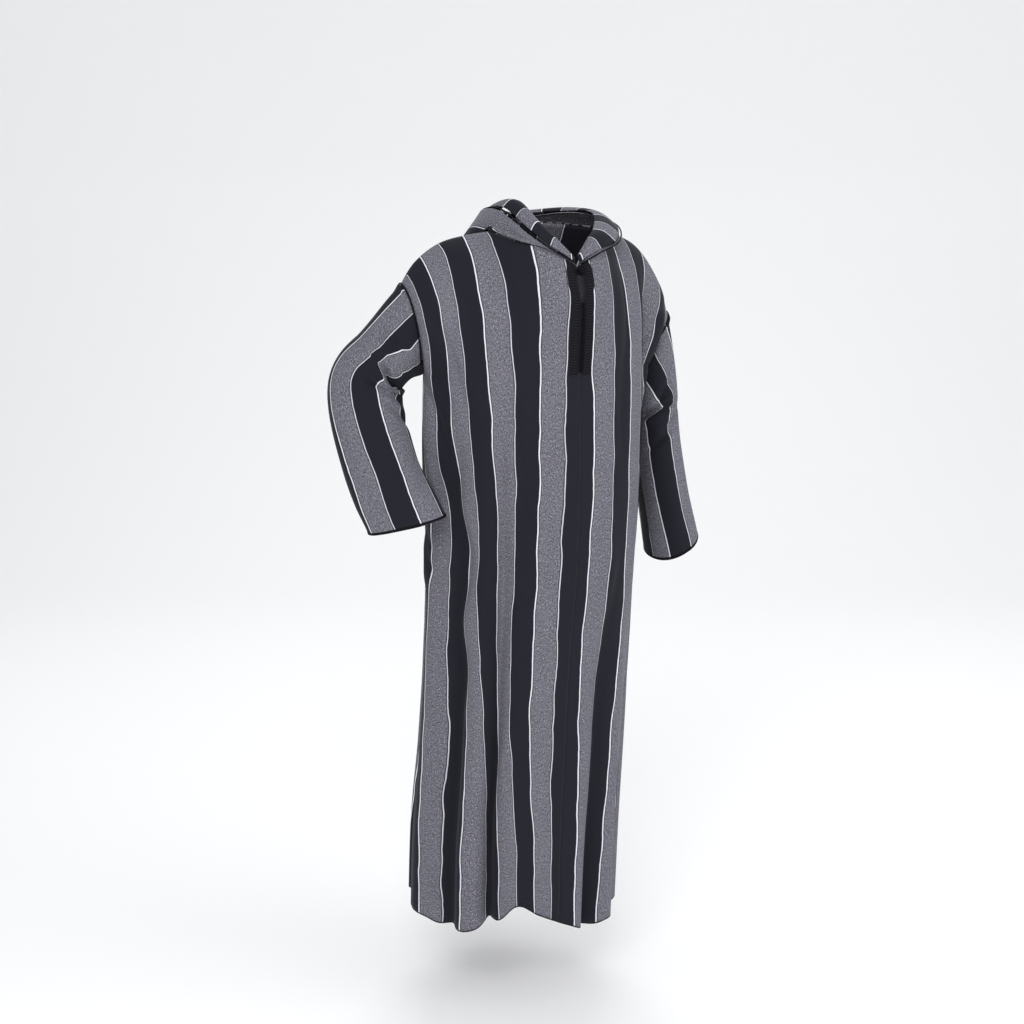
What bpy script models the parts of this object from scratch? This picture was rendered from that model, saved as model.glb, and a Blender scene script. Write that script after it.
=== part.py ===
"""Hooded djellaba robe, worn: two striped body lengths, set-on sleeves and a hood hanging at the back.

Metres, +Z up, the front faces -Y and the wearer's left is +X. The origin is between the shoulders
at the level of the neck, where the wearer holds the robe up.
"""
import bpy
import numpy as np
from math import pi, cos, sin

for old in list(bpy.data.objects):
    bpy.data.objects.remove(old, do_unlink=True)

# cloth and cut
clothWall = 0.0016           # woven cloth
seamGap = 0.0003             # left between two pieces that a seam joins
underarmDrop = 0.250         # neck level down to the underarm
hemDrop = 1.360              # neck level down to the hem
edgeAtArmhole = 0.333        # centre front to the armhole seam, along the cloth
edgeAtHem = 0.440            # centre front to the side seam at the hem
neckHalfWidth = 0.120        # half of the neck opening
braidInner, braidOuter = 0.0045, 0.0235   # braid beside the front fastening, from the centre line
slitTop, slitEnd = 0.056, 0.112           # open part of the fastening, below the neck
pocketTop, pocketEnd = 0.535, 0.690       # pocket slit in the right side seam
right, left = -1, 1

# where each level ring of the body passes: centre front, the two sides, centre back
ringNames = ("drop", "frontX", "frontY", "rightX", "leftX", "sideY", "backX", "backY")
ringRows = (
    (0.25,  0.000, -0.120, -0.240, 0.208, 0.040, -0.012, 0.165),
    (0.40, -0.004, -0.132, -0.240, 0.202, 0.045, -0.015, 0.178),
    (0.60, -0.010, -0.136, -0.232, 0.194, 0.050, -0.018, 0.185),
    (0.80, -0.022, -0.128, -0.234, 0.188, 0.060, -0.022, 0.200),
    (1.00, -0.025, -0.116, -0.240, 0.184, 0.072, -0.026, 0.228),
    (1.20, -0.026, -0.104, -0.250, 0.180, 0.085, -0.030, 0.262),
    (1.36, -0.024, -0.096, -0.252, 0.178, 0.092, -0.032, 0.280),
)

# hanging folds of the body: degrees round from centre front (0) to centre back (180) at the
# underarm and at the hem, half width in degrees, depth in mm at three heights (minus = ridge),
# drop where the fold begins, degrees it wanders
foldNames = ("side", "top", "hem", "wide", "deepTop", "deepMid", "deepHem", "start", "sway")
frontFolds = (
    (right,  37,  36, 5.0,   8,  26,  38, 0.20, 0.0),
    (right,  49,  50, 6.0,   0,  -6,  -6, 0.40, 0.0),
    (right,  63,  62, 5.5,  14,  20,  22, 0.30, 3.5),
    (right,  84,  86, 7.0, -10, -10, -14, 0.10, 0.0),
    (right, 103, 106, 6.5,  30,  26,  30, 0.00, 0.0),
    (left,   20,  19, 5.0,   0,  10,  30, 0.60, 0.0),
    (left,   33,  34, 5.0,   0,  -6, -10, 0.60, 0.0),
    (left,   62,  50, 6.5,  34,  18,  14, 0.00, 0.0),
    (left,   80,  76, 6.0, -12,  -8,  -8, 0.05, 0.0),
    (left,   98,  98, 7.0,  36,  26,  24, 0.00, 0.0),
)
backFolds = (
    (right, 124, 126, 5.5, 22, 22, 26, 0.00, 0.0),
    (right, 144, 145, 5.0, 20, 22, 24, 0.02, 0.0),
    (right, 163, 163, 4.5, 18, 20, 22, 0.02, 0.0),
    (left,  118, 121, 5.5, 24, 22, 26, 0.00, 0.0),
    (left,  139, 141, 5.0, 22, 22, 24, 0.02, 0.0),
    (left,  160, 160, 4.5, 18, 20, 22, 0.02, 0.0),
)

# how much higher (+) or lower the hem hangs, by distance across the wearer
hemNames = ("x", "front", "back")
hemRows = (
    (-0.300,  0.010, 0.030),
    (-0.200,  0.014, 0.020),
    (-0.155,  0.026, 0.010),
    (-0.115,  0.064, 0.004),
    (-0.070,  0.040, 0.000),
    ( 0.000,  0.004, 0.000),
    ( 0.045, -0.016, 0.000),
    ( 0.110, -0.006, 0.004),
    ( 0.200,  0.008, 0.010),
)

# the line over each shoulder, by width of cloth from the centre
shoulderNames = ("width", "rightX", "rightY", "rightZ", "leftX", "leftY", "leftZ")
shoulderRows = (
    (0.120, -0.120, 0.018,  0.010, 0.120, 0.018,  0.010),
    (0.165, -0.165, 0.020,  0.004, 0.163, 0.020, -0.002),
    (0.220, -0.218, 0.024, -0.010, 0.209, 0.024, -0.028),
    (0.275, -0.262, 0.028, -0.040, 0.246, 0.028, -0.080),
    (0.333, -0.290, 0.032, -0.082, 0.276, 0.032, -0.150),
)
# the neck edge: a low V in front, nearly level behind
neckNames = ("width", "frontY", "frontZ", "backY", "backZ")
neckRows = (
    (0.000, -0.106, -0.052, 0.078, 0.024),
    (0.030, -0.101, -0.034, 0.078, 0.023),
    (0.060, -0.084, -0.018, 0.075, 0.021),
    (0.090, -0.052, -0.009, 0.062, 0.017),
    (0.120,  0.018,  0.010, 0.018, 0.010),
)

# sleeve sections from the armhole (0) to the cuff (1): centre, half width and half depth
sleeveNames = ("way", "x", "y", "z", "across", "deep")
sleeveRows = {
    right: (
        (0.00, -0.268, 0.045, -0.160, 0.085, 0.075),
        (0.25, -0.304, 0.070, -0.210, 0.063, 0.058),
        (0.50, -0.345, 0.086, -0.278, 0.069, 0.054),
        (0.75, -0.336, 0.040, -0.416, 0.070, 0.046),
        (1.00, -0.312, -0.030, -0.528, 0.072, 0.038)),
    left: (
        (0.00, 0.245, 0.045, -0.215, 0.075, 0.050),
        (0.25, 0.256, 0.050, -0.300, 0.072, 0.046),
        (0.50, 0.260, 0.040, -0.390, 0.070, 0.043),
        (0.75, 0.263, 0.010, -0.500, 0.070, 0.042),
        (1.00, 0.270, -0.020, -0.612, 0.070, 0.042)),
}
sleeveJoin = 0.30            # how far down the arm the armhole loop has become a regular section
# cuff edge drawn up: all round, and at the outer line
cuffLift = {right: (0.008, -0.013), left: (0.0, 0.028)}

# hood mouth: its outer edge and the inner edge of its turned facing, from the front V (0) past
# the shoulder (1) to centre back (2); hang is how fully the bag drops there, 1 = 0.30 m
hoodNames = ("way", "edgeX", "edgeY", "edgeZ", "innerX", "innerY", "innerZ", "hang")
hoodRows = {
    right: (
        (0.00, 0.004, -0.1120, -0.046, 0.004, -0.100, -0.041, 0.00),
        (0.33, 0.054, -0.0960, -0.016, 0.036, -0.086, -0.004, 0.00),
        (0.66, 0.078, -0.0600,  0.012, 0.056, -0.054,  0.026, 0.02),
        (1.00, 0.092,  0.0150,  0.050, 0.066,  0.008,  0.063, 0.05),
        (1.50, 0.082,  0.1220,  0.047, 0.062,  0.100,  0.046, 0.55),
        (2.00, 0.0006, 0.1900,  0.030, 0.0006, 0.164,  0.038, 1.00)),
    left: (
        (0.00, 0.004, -0.1120, -0.046, 0.004, -0.100, -0.041, 0.00),
        (0.33, 0.052, -0.1040, -0.026, 0.038, -0.084, -0.006, 0.00),
        (0.66, 0.108, -0.0740, -0.008, 0.068, -0.056,  0.014, 0.02),
        (1.00, 0.154,  0.0100,  0.018, 0.102,  0.008,  0.040, 0.02),
        (1.50, 0.120,  0.1220,  0.044, 0.092,  0.104,  0.046, 0.55),
        (2.00, 0.0006, 0.1900,  0.030, 0.0006, 0.164,  0.038, 1.00)),
}
# shape of the hanging hood from its seam (0), down the back and up to the mouth (1)
bagNames = ("way", "out", "down")
bagRows = ((0.00, 0.000, 0.00), (0.25, 0.066, 0.20), (0.50, 0.088, 0.31), (0.75, 0.118, 0.17),
           (1.00, 0.000, 0.00))


def ease(t):
    t = np.clip(t, 0.0, 1.0)
    return t * t * (3 - 2 * t)


def unit(v):
    return v / (np.linalg.norm(v, axis=-1, keepdims=True) + 1e-12)


def column(rows, names, name):
    return np.array([row[names.index(name)] for row in rows], float)


def along(xs, ys, x):
    """Smooth curve through the points (xs, ys), read at x."""
    xs, ys = np.asarray(xs, float), np.asarray(ys, float)
    x = np.clip(np.asarray(x, float), xs[0], xs[-1])
    slope = np.gradient(ys, xs)
    i = np.clip(np.searchsorted(xs, x, side="right") - 1, 0, len(xs) - 2)
    h = xs[i + 1] - xs[i]
    t = (x - xs[i]) / h
    return ((2 * t**3 - 3 * t**2 + 1) * ys[i] + (t**3 - 2 * t**2 + t) * h * slope[i]
            + (3 * t**2 - 2 * t**3) * ys[i + 1] + (t**3 - t**2) * h * slope[i + 1])


def bridge(p0, t0, p1, t1, k):
    """Smooth curve leaving p0 along t0 and arriving at p1 along t1, at fraction k."""
    k = np.asarray(k, float)[..., None]
    return ((2 * k**3 - 3 * k**2 + 1) * p0 + (k**3 - 2 * k**2 + k) * t0
            + (3 * k**2 - 2 * k**3) * p1 + (k**3 - k**2) * t1)


def edgeAt(drop):
    """Width of a body length from the centre line to its side edge."""
    k = np.clip((drop - underarmDrop) / (hemDrop - underarmDrop), 0, 1)
    return edgeAtArmhole + (edgeAtHem - edgeAtArmhole) * k


def foldPush(rows, side, degrees, drop):
    out = np.zeros_like(degrees)
    for foldSide, top, hem, wide, high, mid, low, start, sway in rows:
        if foldSide != side:
            continue
        k = ease((drop - underarmDrop) / (hemDrop - underarmDrop))
        wander = np.sin((drop - 0.42) * 2 * pi / 0.24) * ease((drop - 0.36) / 0.1)
        wander = wander * ease((0.95 - drop) / 0.25)
        centre = top + (hem - top) * k + sway * wander
        deep = float(along((0.25, 0.80, 1.36), (high, mid, low), drop)) * ease((drop - start) / 0.22) / 1000
        out -= deep * np.exp(-((degrees - centre) / wide) ** 2)
    return out


ringsMade = {}


def halfRing(side, drop):
    """Half a level ring, centre front to centre back, with its length of cloth taken up in folds."""
    key = (side, round(float(drop), 5))
    if key in ringsMade:
        return ringsMade[key]
    read = {n: float(along(column(ringRows, ringNames, "drop"), column(ringRows, ringNames, n), drop))
            for n in ringNames[1:]}
    angle = np.linspace(0, pi, 721)
    degrees = np.degrees(angle)
    sideways, forward = np.sin(angle) ** 0.86, np.abs(np.cos(angle)) ** 0.86
    inFront = degrees < 90
    midX = np.where(inFront, read["frontX"], read["backX"])
    farY = np.where(inFront, read["frontY"], read["backY"])
    x = midX + (read["leftX" if side > 0 else "rightX"] - midX) * sideways
    y = read["sideY"] + (farY - read["sideY"]) * forward
    dx, dy = np.gradient(x), np.gradient(y)
    size = np.hypot(dx, dy) + 1e-12
    outX, outY = side * dy / size, -side * dx / size
    seen = foldPush(frontFolds, side, degrees, drop)
    behind = foldPush(backFolds, side, degrees, drop)
    low, high = 0.0, 3.0
    for _ in range(18):
        scale = (low + high) / 2
        foldX, foldY = x + outX * (seen + scale * behind), y + outY * (seen + scale * behind)
        if np.hypot(np.diff(foldX), np.diff(foldY)).sum() < 2 * edgeAt(drop):
            low = scale
        else:
            high = scale
    width = np.concatenate([[0], np.cumsum(np.hypot(np.diff(foldX), np.diff(foldY)))])
    ringsMade[key] = (width * 2 * edgeAt(drop) / width[-1], foldX, foldY)
    return ringsMade[key]


def ringPoint(side, width, drop):
    widths, xs, ys = halfRing(side, drop)
    x, y = np.interp(width, widths, xs), np.interp(width, widths, ys)
    across = column(hemRows, hemNames, "x")
    behind = ease((y + 0.02) / 0.12)
    lift = (along(across, column(hemRows, hemNames, "front"), x) * (1 - behind)
            + along(across, column(hemRows, hemNames, "back"), x) * behind)
    return np.stack([x, y, -drop + lift * ease((drop - 0.8) / 0.56)], -1)


def topPoint(side, width, face):
    """Where a column of the body starts: on the neck edge or on the line over the shoulder."""
    word = "left" if side > 0 else "right"
    w = np.minimum(width, neckHalfWidth)
    widths = column(neckRows, neckNames, "width")
    neck = np.stack([side * w, along(widths, column(neckRows, neckNames, face + "Y"), w),
                     along(widths, column(neckRows, neckNames, face + "Z"), w)], -1)
    w = np.maximum(width, neckHalfWidth)
    over = np.stack([along(column(shoulderRows, shoulderNames, "width"),
                           column(shoulderRows, shoulderNames, word + c), w) for c in "XYZ"], -1)
    return np.where((width < neckHalfWidth)[..., None], neck, over)


def upperPoint(side, width, k, face):
    """The body above the underarm: k is 0 at the neck or shoulder and 1 at the underarm ring."""
    f = -1.0 if face == "front" else 1.0
    top = topPoint(side, width, face)
    low = ringPoint(side, width if face == "front" else 2 * edgeAtArmhole - width, underarmDrop)
    toArm = ease((width - 0.20) / 0.13)[..., None]
    toNeck = ease((neckHalfWidth - width) / 0.04)[..., None]
    leave = (np.array([0.0, f, -0.42]) * (1 - toArm)
             + np.array([0.0, f * 0.95, -0.35 if side < 0 else -0.2]) * toArm)
    leave = leave * (1 - toNeck) + np.array([0.0, f * 0.55, -0.8]) * toNeck
    arrive = np.array([0.0, 0.0, -1.0]) * (1 - toArm) + np.array([-side * 0.35, -f * 0.75, -0.5]) * toArm
    span = np.linalg.norm(low - top, axis=-1, keepdims=True)
    leave = unit(leave) * span * (1.0 + 0.25 * toArm)
    arrive = unit(arrive) * span * (0.9 + 0.3 * toArm)
    return bridge(top, leave, low, arrive, k)


def openBy(side, face, drop):
    """How far the cloth edge stands back from the centre line: a hair at seams, more at the slit."""
    if face == "back":
        return seamGap
    middle, half = (slitTop + slitEnd) / 2, (slitEnd - slitTop) / 2
    return seamGap / 2 + 0.0034 * ease(1.6 * (1 - abs(drop - middle) / half))


def sideGap(side, face, drop):
    """Gap at the side seam: a hair, and the open pocket on the wearer's right."""
    if side == left:
        return seamGap
    middle, half = (pocketTop + pocketEnd) / 2, (pocketEnd - pocketTop) / 2
    return seamGap + (0.0055 if face == "front" else 0.0030) * ease(1.4 * (1 - abs(drop - middle) / half))


neckShare = neckHalfWidth / edgeAtArmhole
shares = np.concatenate([[0, braidInner / edgeAtArmhole, braidOuter / edgeAtArmhole],
                         np.linspace(0.125, neckShare, 5), np.linspace(neckShare, 1, 14)[1:]])
upperSteps, lowerSteps = 8, 12


def bodyGrid(side, face):
    """Rows from the top down, columns from the centre line to the armhole or side seam."""
    rows = []
    for k in np.linspace(0, 1, upperSteps + 1)[:-1]:
        drop = -upperPoint(side, np.array([0.0]), np.array([k]), face)[0, 2]
        first, last = openBy(side, face, drop), edgeAtArmhole - seamGap
        width = first + shares * (last - first)
        rows.append(upperPoint(side, width, np.full_like(width, k), face))
    for drop in np.linspace(underarmDrop, hemDrop, lowerSteps + 1):
        first, last = openBy(side, face, drop), edgeAt(drop) - sideGap(side, face, drop)
        width = first + shares * (last - first)
        rows.append(ringPoint(side, width if face == "front" else 2 * edgeAt(drop) - width, drop))
    rows = np.array(rows)
    if side == right and face == "front":
        drops = np.concatenate([np.zeros(upperSteps), np.linspace(underarmDrop, hemDrop, lowerSteps + 1)])
        middle, half = (pocketTop + pocketEnd) / 2, (pocketEnd - pocketTop) / 2
        gape = 0.007 * ease(1.4 * (1 - np.abs(drops - middle) / half))
        rows[..., 0] -= gape[:, None] * ease((shares - 0.90) / 0.10)
    return rows


def gridNormals(points):
    n = unit(np.cross(np.gradient(points, axis=0), np.gradient(points, axis=1)))
    return n


def armhole(side):
    """Closed loop round the armhole seam: top, front, underarm, back, on the body's own edge points."""
    k = np.linspace(0, 1, upperSteps + 1)
    width = np.full_like(k, edgeAtArmhole)
    front, back = (upperPoint(side, width, k, face) for face in ("front", "back"))
    return np.concatenate([front, back[::-1][1:]])


def sleevePath(side, way):
    rows = sleeveRows[side]
    ways = column(rows, sleeveNames, "way")
    return np.array([float(along(ways, column(rows, sleeveNames, c), way)) for c in "xyz"])


def sleeveSection(side, way, count):
    """Closed section of the sleeve: outer line, front, under, back."""
    rows = sleeveRows[side]
    ways = column(rows, sleeveNames, "way")
    ahead = unit(sleevePath(side, min(way + 0.02, 1.0)) - sleevePath(side, max(way - 0.02, 0.0)))
    level = 0.8 * ease((way - 0.75) / 0.25)
    ahead = unit(ahead * (1 - level) + np.array([0.0, 0.12, -1.0]) * level)
    across = float(along(ways, column(rows, sleeveNames, "across"), way))
    deep = float(along(ways, column(rows, sleeveNames, "deep"), way))
    outward = np.array([-1.0, 0.35, 0.35]) if side == right else np.array([1.0, 0.0, 0.2])
    outward = unit(outward - ahead * outward.dot(ahead))
    frontward = np.cross(outward, ahead)
    frontward = frontward if frontward[1] < 0 else -frontward
    a, b = (across, deep) if side == right else (deep, across)
    angle = np.linspace(0, 2 * pi, count + 1)
    c, s = np.cos(angle), np.sin(angle)
    c, s = np.sign(c) * np.abs(c) ** 0.92, np.sign(s) * np.abs(s) ** 0.92
    lift = (cuffLift[side][0] + cuffLift[side][1] * np.cos(angle)) * ease((way - 0.7) / 0.3)
    points = sleevePath(side, way) + a * c[:, None] * outward + b * s[:, None] * frontward
    return points - ahead * lift[:, None], ahead


joinShares = (0.0, 0.07, 0.18, 0.38, 0.66)


def sleeveGrid(side, steps):
    loop = armhole(side)
    count = len(loop) - 1
    middle = loop[:-1].mean(axis=0)
    section, ahead = sleeveSection(side, sleeveJoin, count)
    leave = unit(unit(section - loop) + unit(loop - middle) * 0.1)
    inside = [upperPoint(side, np.full(upperSteps + 1, edgeAtArmhole - 0.015), np.linspace(0, 1, upperSteps + 1), face)
              for face in ("front", "back")]
    inside = np.concatenate([inside[0], inside[1][::-1][1:]])
    acute = np.clip(0.4 - (leave * unit(loop - inside)).sum(-1, keepdims=True), 0, 1)
    near = np.argmin(((loop[:, None] - cloud[None]) ** 2).sum(-1), axis=1)
    loop = loop + leave * (clothWall + seamGap) + cloudOut[near] * 0.0085 * acute
    span = np.linalg.norm(section - loop, axis=-1, keepdims=True)
    rows = [bridge(loop, leave * span, section, ahead * span, np.full(count + 1, k))
            for k in joinShares]
    rows += [sleeveSection(side, way, count)[0] for way in np.linspace(sleeveJoin, 1, steps + 1)]
    return np.array(rows)[:, :-1]


def keepClear(points, cloud, normals, clear):
    """Move points out along the nearest cloth until they stand clear of it."""
    flat = points.reshape(-1, 3).copy()
    room = np.broadcast_to(clear, points.shape[:-1]).reshape(-1)
    for _ in range(3):
        apart = flat[:, None, :] - cloud[None]
        near = np.argmin((apart ** 2).sum(-1), axis=1)
        out = normals[near]
        offset = flat - cloud[near]
        above = (offset * out).sum(-1)
        beside = np.linalg.norm(offset - out * above[:, None], axis=-1)
        flat += out * (np.clip(room - above, 0, 0.05) * (beside < 0.009))[:, None]
    return flat.reshape(points.shape)


def hoodRail(side, way, name):
    rows = hoodRows[side]
    ways = column(rows, hoodNames, "way")
    p = np.stack([along(ways, column(rows, hoodNames, name + c), way) for c in "XYZ"], -1)
    p[..., 0] *= side
    return p


def hoodSeam(side, way):
    front = topPoint(side, neckHalfWidth * np.minimum(way, 1.0), "front")
    back = topPoint(side, neckHalfWidth * np.minimum(2.0 - way, 1.0), "back")
    p = np.where((way < 1.0)[..., None], front, back)
    p[..., 0] = side * np.maximum(side * p[..., 0], np.where(way < 1, 0.004, 0.0006))
    return p


def hoodPoint(side, way, b):
    """way goes round the neck, b goes from the neck seam over the hanging hood to its mouth."""
    seam, edge = hoodSeam(side, way), hoodRail(side, way, "edge")
    start = seam + unit(unit(edge - seam) + np.array([0.0, 0.0, 1.0])) * 0.0030
    hang = along(column(hoodRows[side], hoodNames, "way"), column(hoodRows[side], hoodNames, "hang"), way)
    around = pi * way / 2
    outward = np.stack([side * np.sin(around), -np.cos(around), np.zeros_like(way)], -1)
    outward = unit(outward + np.array([0.0, 0.35, 0.0]) * ease(way - 1)[..., None])
    outward[..., 0] *= ease((2.0 - way) / 0.3)
    fromOutside = ease((way - 0.8) / 0.5)[..., None]
    below = unit(unit(seam - edge) * (1 - fromOutside) + (outward - np.array([0, 0, 0.5])) * fromOutside)
    stop = edge + below * 0.0046
    ways = column(bagRows, bagNames, "way")
    out = along(ways, column(bagRows, bagNames, "out"), b) * hang + 0.012 * np.sin(pi * b) * ease((way - 0.9) / 0.4)
    down = along(ways, column(bagRows, bagNames, "down"), b) * hang
    p = start + (stop - start) * b[..., None] + outward * out[..., None]
    p[..., 2] -= down
    return p


def makeMaterial(name, colour, roughness, metallic=0.0):
    material = bpy.data.materials.new(name)
    material.use_nodes = True
    shader = material.node_tree.nodes["Principled BSDF"]
    shader.inputs["Base Color"].default_value = (*colour, 1.0)
    shader.inputs["Roughness"].default_value = roughness
    shader.inputs["Metallic"].default_value = metallic
    return material


robe = bpy.data.collections.new("djellaba_robe")
bpy.context.scene.collection.children.link(robe)
paleWool, darkWool = (0.165, 0.165, 0.190), (0.014, 0.014, 0.021)


def addObject(name, verts, faces, colour, wall=None, roughness=0.85):
    mesh = bpy.data.meshes.new(name)
    mesh.from_pydata([tuple(float(c) for c in v) for v in verts], [], faces)
    mesh.update()
    for face in mesh.polygons:
        face.use_smooth = True
    thing = bpy.data.objects.new(name, mesh)
    mesh.materials.append(makeMaterial(name, colour, roughness))
    robe.objects.link(thing)
    if wall:
        shell = thing.modifiers.new("cloth", "SOLIDIFY")
        shell.thickness = wall
        shell.offset = 0.0
        shell.use_even_offset = False
    return thing


def gridFaces(rows, cols, firstVert=0, wrap=False):
    faces = []
    for r in range(rows - 1):
        for c in range(cols if wrap else cols - 1):
            d = (c + 1) % cols
            a = firstVert + r * cols
            faces.append((a + c, a + cols + c, a + cols + d, a + d))
    return faces


def addGrid(name, points, colour, wall=clothWall, wrap=False):
    rows, cols = points.shape[:2]
    return addObject(name, points.reshape(-1, 3), gridFaces(rows, cols, 0, wrap), colour, wall)


def addTube(name, path, radius, colour, closed=False, sides=6):
    """Round cord along a path; radius may change along it."""
    path = np.asarray(path, float)
    count = len(path)
    radius = np.broadcast_to(np.asarray(radius, float), (count,))
    if closed:
        ahead = unit(np.roll(path, -1, axis=0) - np.roll(path, 1, axis=0))
    else:
        ahead = unit(np.gradient(path, axis=0))
    guide = np.array([0.31, 0.17, 0.94])
    across = []
    for t in ahead:
        guide = unit(guide - t * guide.dot(t))
        across.append(guide)
    across = np.array(across)
    if closed:
        end = unit(across[-1] - ahead[0] * across[-1].dot(ahead[0]))
        third = np.cross(ahead[0], across[0])
        turn = np.arctan2(end.dot(third), end.dot(across[0]))
        for i in range(count):
            third = np.cross(ahead[i], across[i])
            a = -turn * i / (count - 1)
            across[i] = across[i] * cos(a) + third * sin(a)
    verts = []
    for p, t, g, r in zip(path, ahead, across, radius):
        third = np.cross(t, g)
        verts += [p + r * (g * cos(2 * pi * i / sides) + third * sin(2 * pi * i / sides)) for i in range(sides)]
    faces = [tuple(reversed(f)) for f in gridFaces(count, sides, 0, True)]
    if closed:
        a = (count - 1) * sides
        faces += [(a + (c + 1) % sides, (c + 1) % sides, c, a + c) for c in range(sides)]
    else:
        faces.append(tuple(reversed(range(sides))))
        faces.append(tuple((count - 1) * sides + i for i in range(sides)))
    return addObject(name, verts, faces, colour)


# body: one length a side, over the shoulder without a seam there
bodyPoints = {}
for side, word in ((right, "right"), (left, "left")):
    front, back = bodyGrid(side, "front"), bodyGrid(side, "back")
    bodyPoints[side] = (front, back)
    rows, cols = front.shape[:2]
    neckColumn = int(np.argmin(np.abs(shares - neckShare)))
    verts = list(front.reshape(-1, 3))
    index = np.arange(rows * cols).reshape(rows, cols)
    behind = np.zeros((rows, cols), int)
    for r in range(rows):
        for c in range(cols):
            if r == 0 and c >= neckColumn:
                behind[r, c] = index[0, c]
                verts[index[0, c]] = (front[0, c] + back[0, c]) / 2
            else:
                behind[r, c] = len(verts)
                verts.append(back[r, c])
    faces = []
    for r in range(rows - 1):
        for c in range(cols - 1):
            ahead = (index[r, c], index[r + 1, c], index[r + 1, c + 1], index[r, c + 1])
            after = (behind[r, c], behind[r, c + 1], behind[r + 1, c + 1], behind[r + 1, c])
            faces += [tuple(int(i) for i in (ahead if side == left else ahead[::-1])),
                      tuple(int(i) for i in (after if side == left else after[::-1]))]
    addObject("body_" + word, verts, faces, paleWool, clothWall)

# fine copy of the top of the body, to keep the hood and the sleeves clear of it
cloud, cloudOut = [], []
for side in (right, left):
    for face in ("front", "back"):
        w = np.linspace(0.001, edgeAtArmhole, 40)
        top = np.array([upperPoint(side, w, np.full_like(w, k), face) for k in np.linspace(0, 1, 26)])
        low = np.array([ringPoint(side, w / edgeAtArmhole * edgeAt(d) if face == "front"
                                  else 2 * edgeAt(d) - w / edgeAtArmhole * edgeAt(d), d)
                        for d in np.linspace(underarmDrop, 0.75, 30)[1:]])
        sheet = np.concatenate([top, low])
        n = gridNormals(sheet)
        outwards = sheet - np.array([-0.01, 0.03, 0.0])
        outwards[..., 2] = np.maximum(outwards[..., 2] + 0.22, 0.0)
        n *= np.sign((n * outwards).sum(-1, keepdims=True))
        cloud.append(sheet.reshape(-1, 3))
        cloudOut.append(n.reshape(-1, 3))
cloud, cloudOut = np.concatenate(cloud), np.concatenate(cloudOut)

for side, word in ((right, "right"), (left, "left")):
    sleeve = sleeveGrid(side, 7)
    sleeve[1] = keepClear(sleeve[1], cloud, cloudOut, 0.0045)
    sleeve[2:] = keepClear(sleeve[2:], cloud, cloudOut, 0.0045)
    if side == right:
        sleeve = sleeve[:, ::-1]
    addGrid("sleeve_" + word, sleeve, paleWool, wrap=True)
    loop, centre = sleeve[0], sleeve[0].mean(axis=0)
    near = np.argmin(((loop[:, None] - cloud[None]) ** 2).sum(-1), axis=1)
    sleeveOut = unit(np.cross(np.roll(loop, -1, axis=0) - np.roll(loop, 1, axis=0), sleeve[1] - loop))
    sleeveOut *= np.sign((sleeveOut * (loop - centre)).sum(-1, keepdims=True))
    outward = unit(sleeveOut + cloudOut[near])
    valley = np.clip((outward * sleeveOut).sum(-1, keepdims=True), 0.3, 1.0)
    piping = loop + outward * (clothWall / 2 + 0.0012 + 0.0018) / valley
    hidden = 2 if side == right else 3       # stops short of the underarm point
    piping = np.roll(piping, -(upperSteps + hidden), axis=0)[:-(2 * hidden - 1)]
    addTube("armhole_piping_" + word, piping, 0.0012, darkWool, sides=5)
    tail = sleeve[-1]
    centre = tail.mean(axis=0)
    up = unit(sleeve[-2] - tail)
    outward = tail - centre
    outward = unit(outward - up * (outward * up).sum(-1, keepdims=True)) * (clothWall / 2 + seamGap + 0.0009)
    addGrid("cuff_binding_" + word, np.array([tail + outward + up * 0.0055, tail + outward + up * 0.0005]),
            darkWool, 0.0008, wrap=True)

for side, word in ((right, "right"), (left, "left")):
    neckWidths = shares[:neckColumn + 1] * edgeAtArmhole / neckHalfWidth
    ways = np.concatenate([neckWidths, 2 - neckWidths[::-1][1:]])
    bs = np.array([0.0, 0.025, 0.06, 0.11, 0.17, 0.25, 0.36, 0.48, 0.60, 0.73, 0.88, 1.0])
    hood = np.array([hoodPoint(side, ways, np.full_like(ways, b)) for b in bs])
    moved = keepClear(hood[1:-1], cloud, cloudOut, 0.0075)
    lying = ease((ways - (0.55 if side == right else 0.25)) / 0.25)[:, None]
    hood[1:-1] += (moved - hood[1:-1]) * lying
    hood[..., 0] = side * np.maximum(side * hood[..., 0], 0.0012)
    addGrid("hood_" + word, hood if side == right else hood[:, ::-1], paleWool)
    edge, lip = hoodRail(side, ways, "edge"), hoodRail(side, ways, "inner")
    lean = unit(lip - edge)
    facing = np.array([edge + lean * 0.0060 + (lip - edge) * k + np.array([0, 0, 0.007]) * np.sin(pi * k)
                       for k in np.linspace(0, 1, 4)])
    facing[..., 0] = side * np.maximum(side * facing[..., 0], 0.0012)
    addGrid("hood_facing_" + word, facing if side == right else facing[:, ::-1], darkWool)
    cord = hoodRail(side, ways, "edge")
    cord[..., 0] = side * np.maximum(side * cord[..., 0], 0.0022)
    addTube("hood_piping_" + word, cord, 0.0013, darkWool, sides=5)

# front fastening: a braid on each edge, a knot button with its loop, then a row of small knots
for side, word in ((right, "right"), (left, "left")):
    front = bodyPoints[side][0]
    normals = gridNormals(front)
    normals *= -np.sign(normals[..., 1:2])
    rows = upperSteps + 1
    lift = clothWall / 2 + seamGap + 0.0005
    braid = front[:rows, 1:3] + normals[:rows, 1:3] * lift
    braid[0] += (braid[1] - braid[0]) * 0.16
    addGrid("placket_braid_" + word, braid if side == left else braid[:, ::-1], darkWool, 0.0010)

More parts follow.
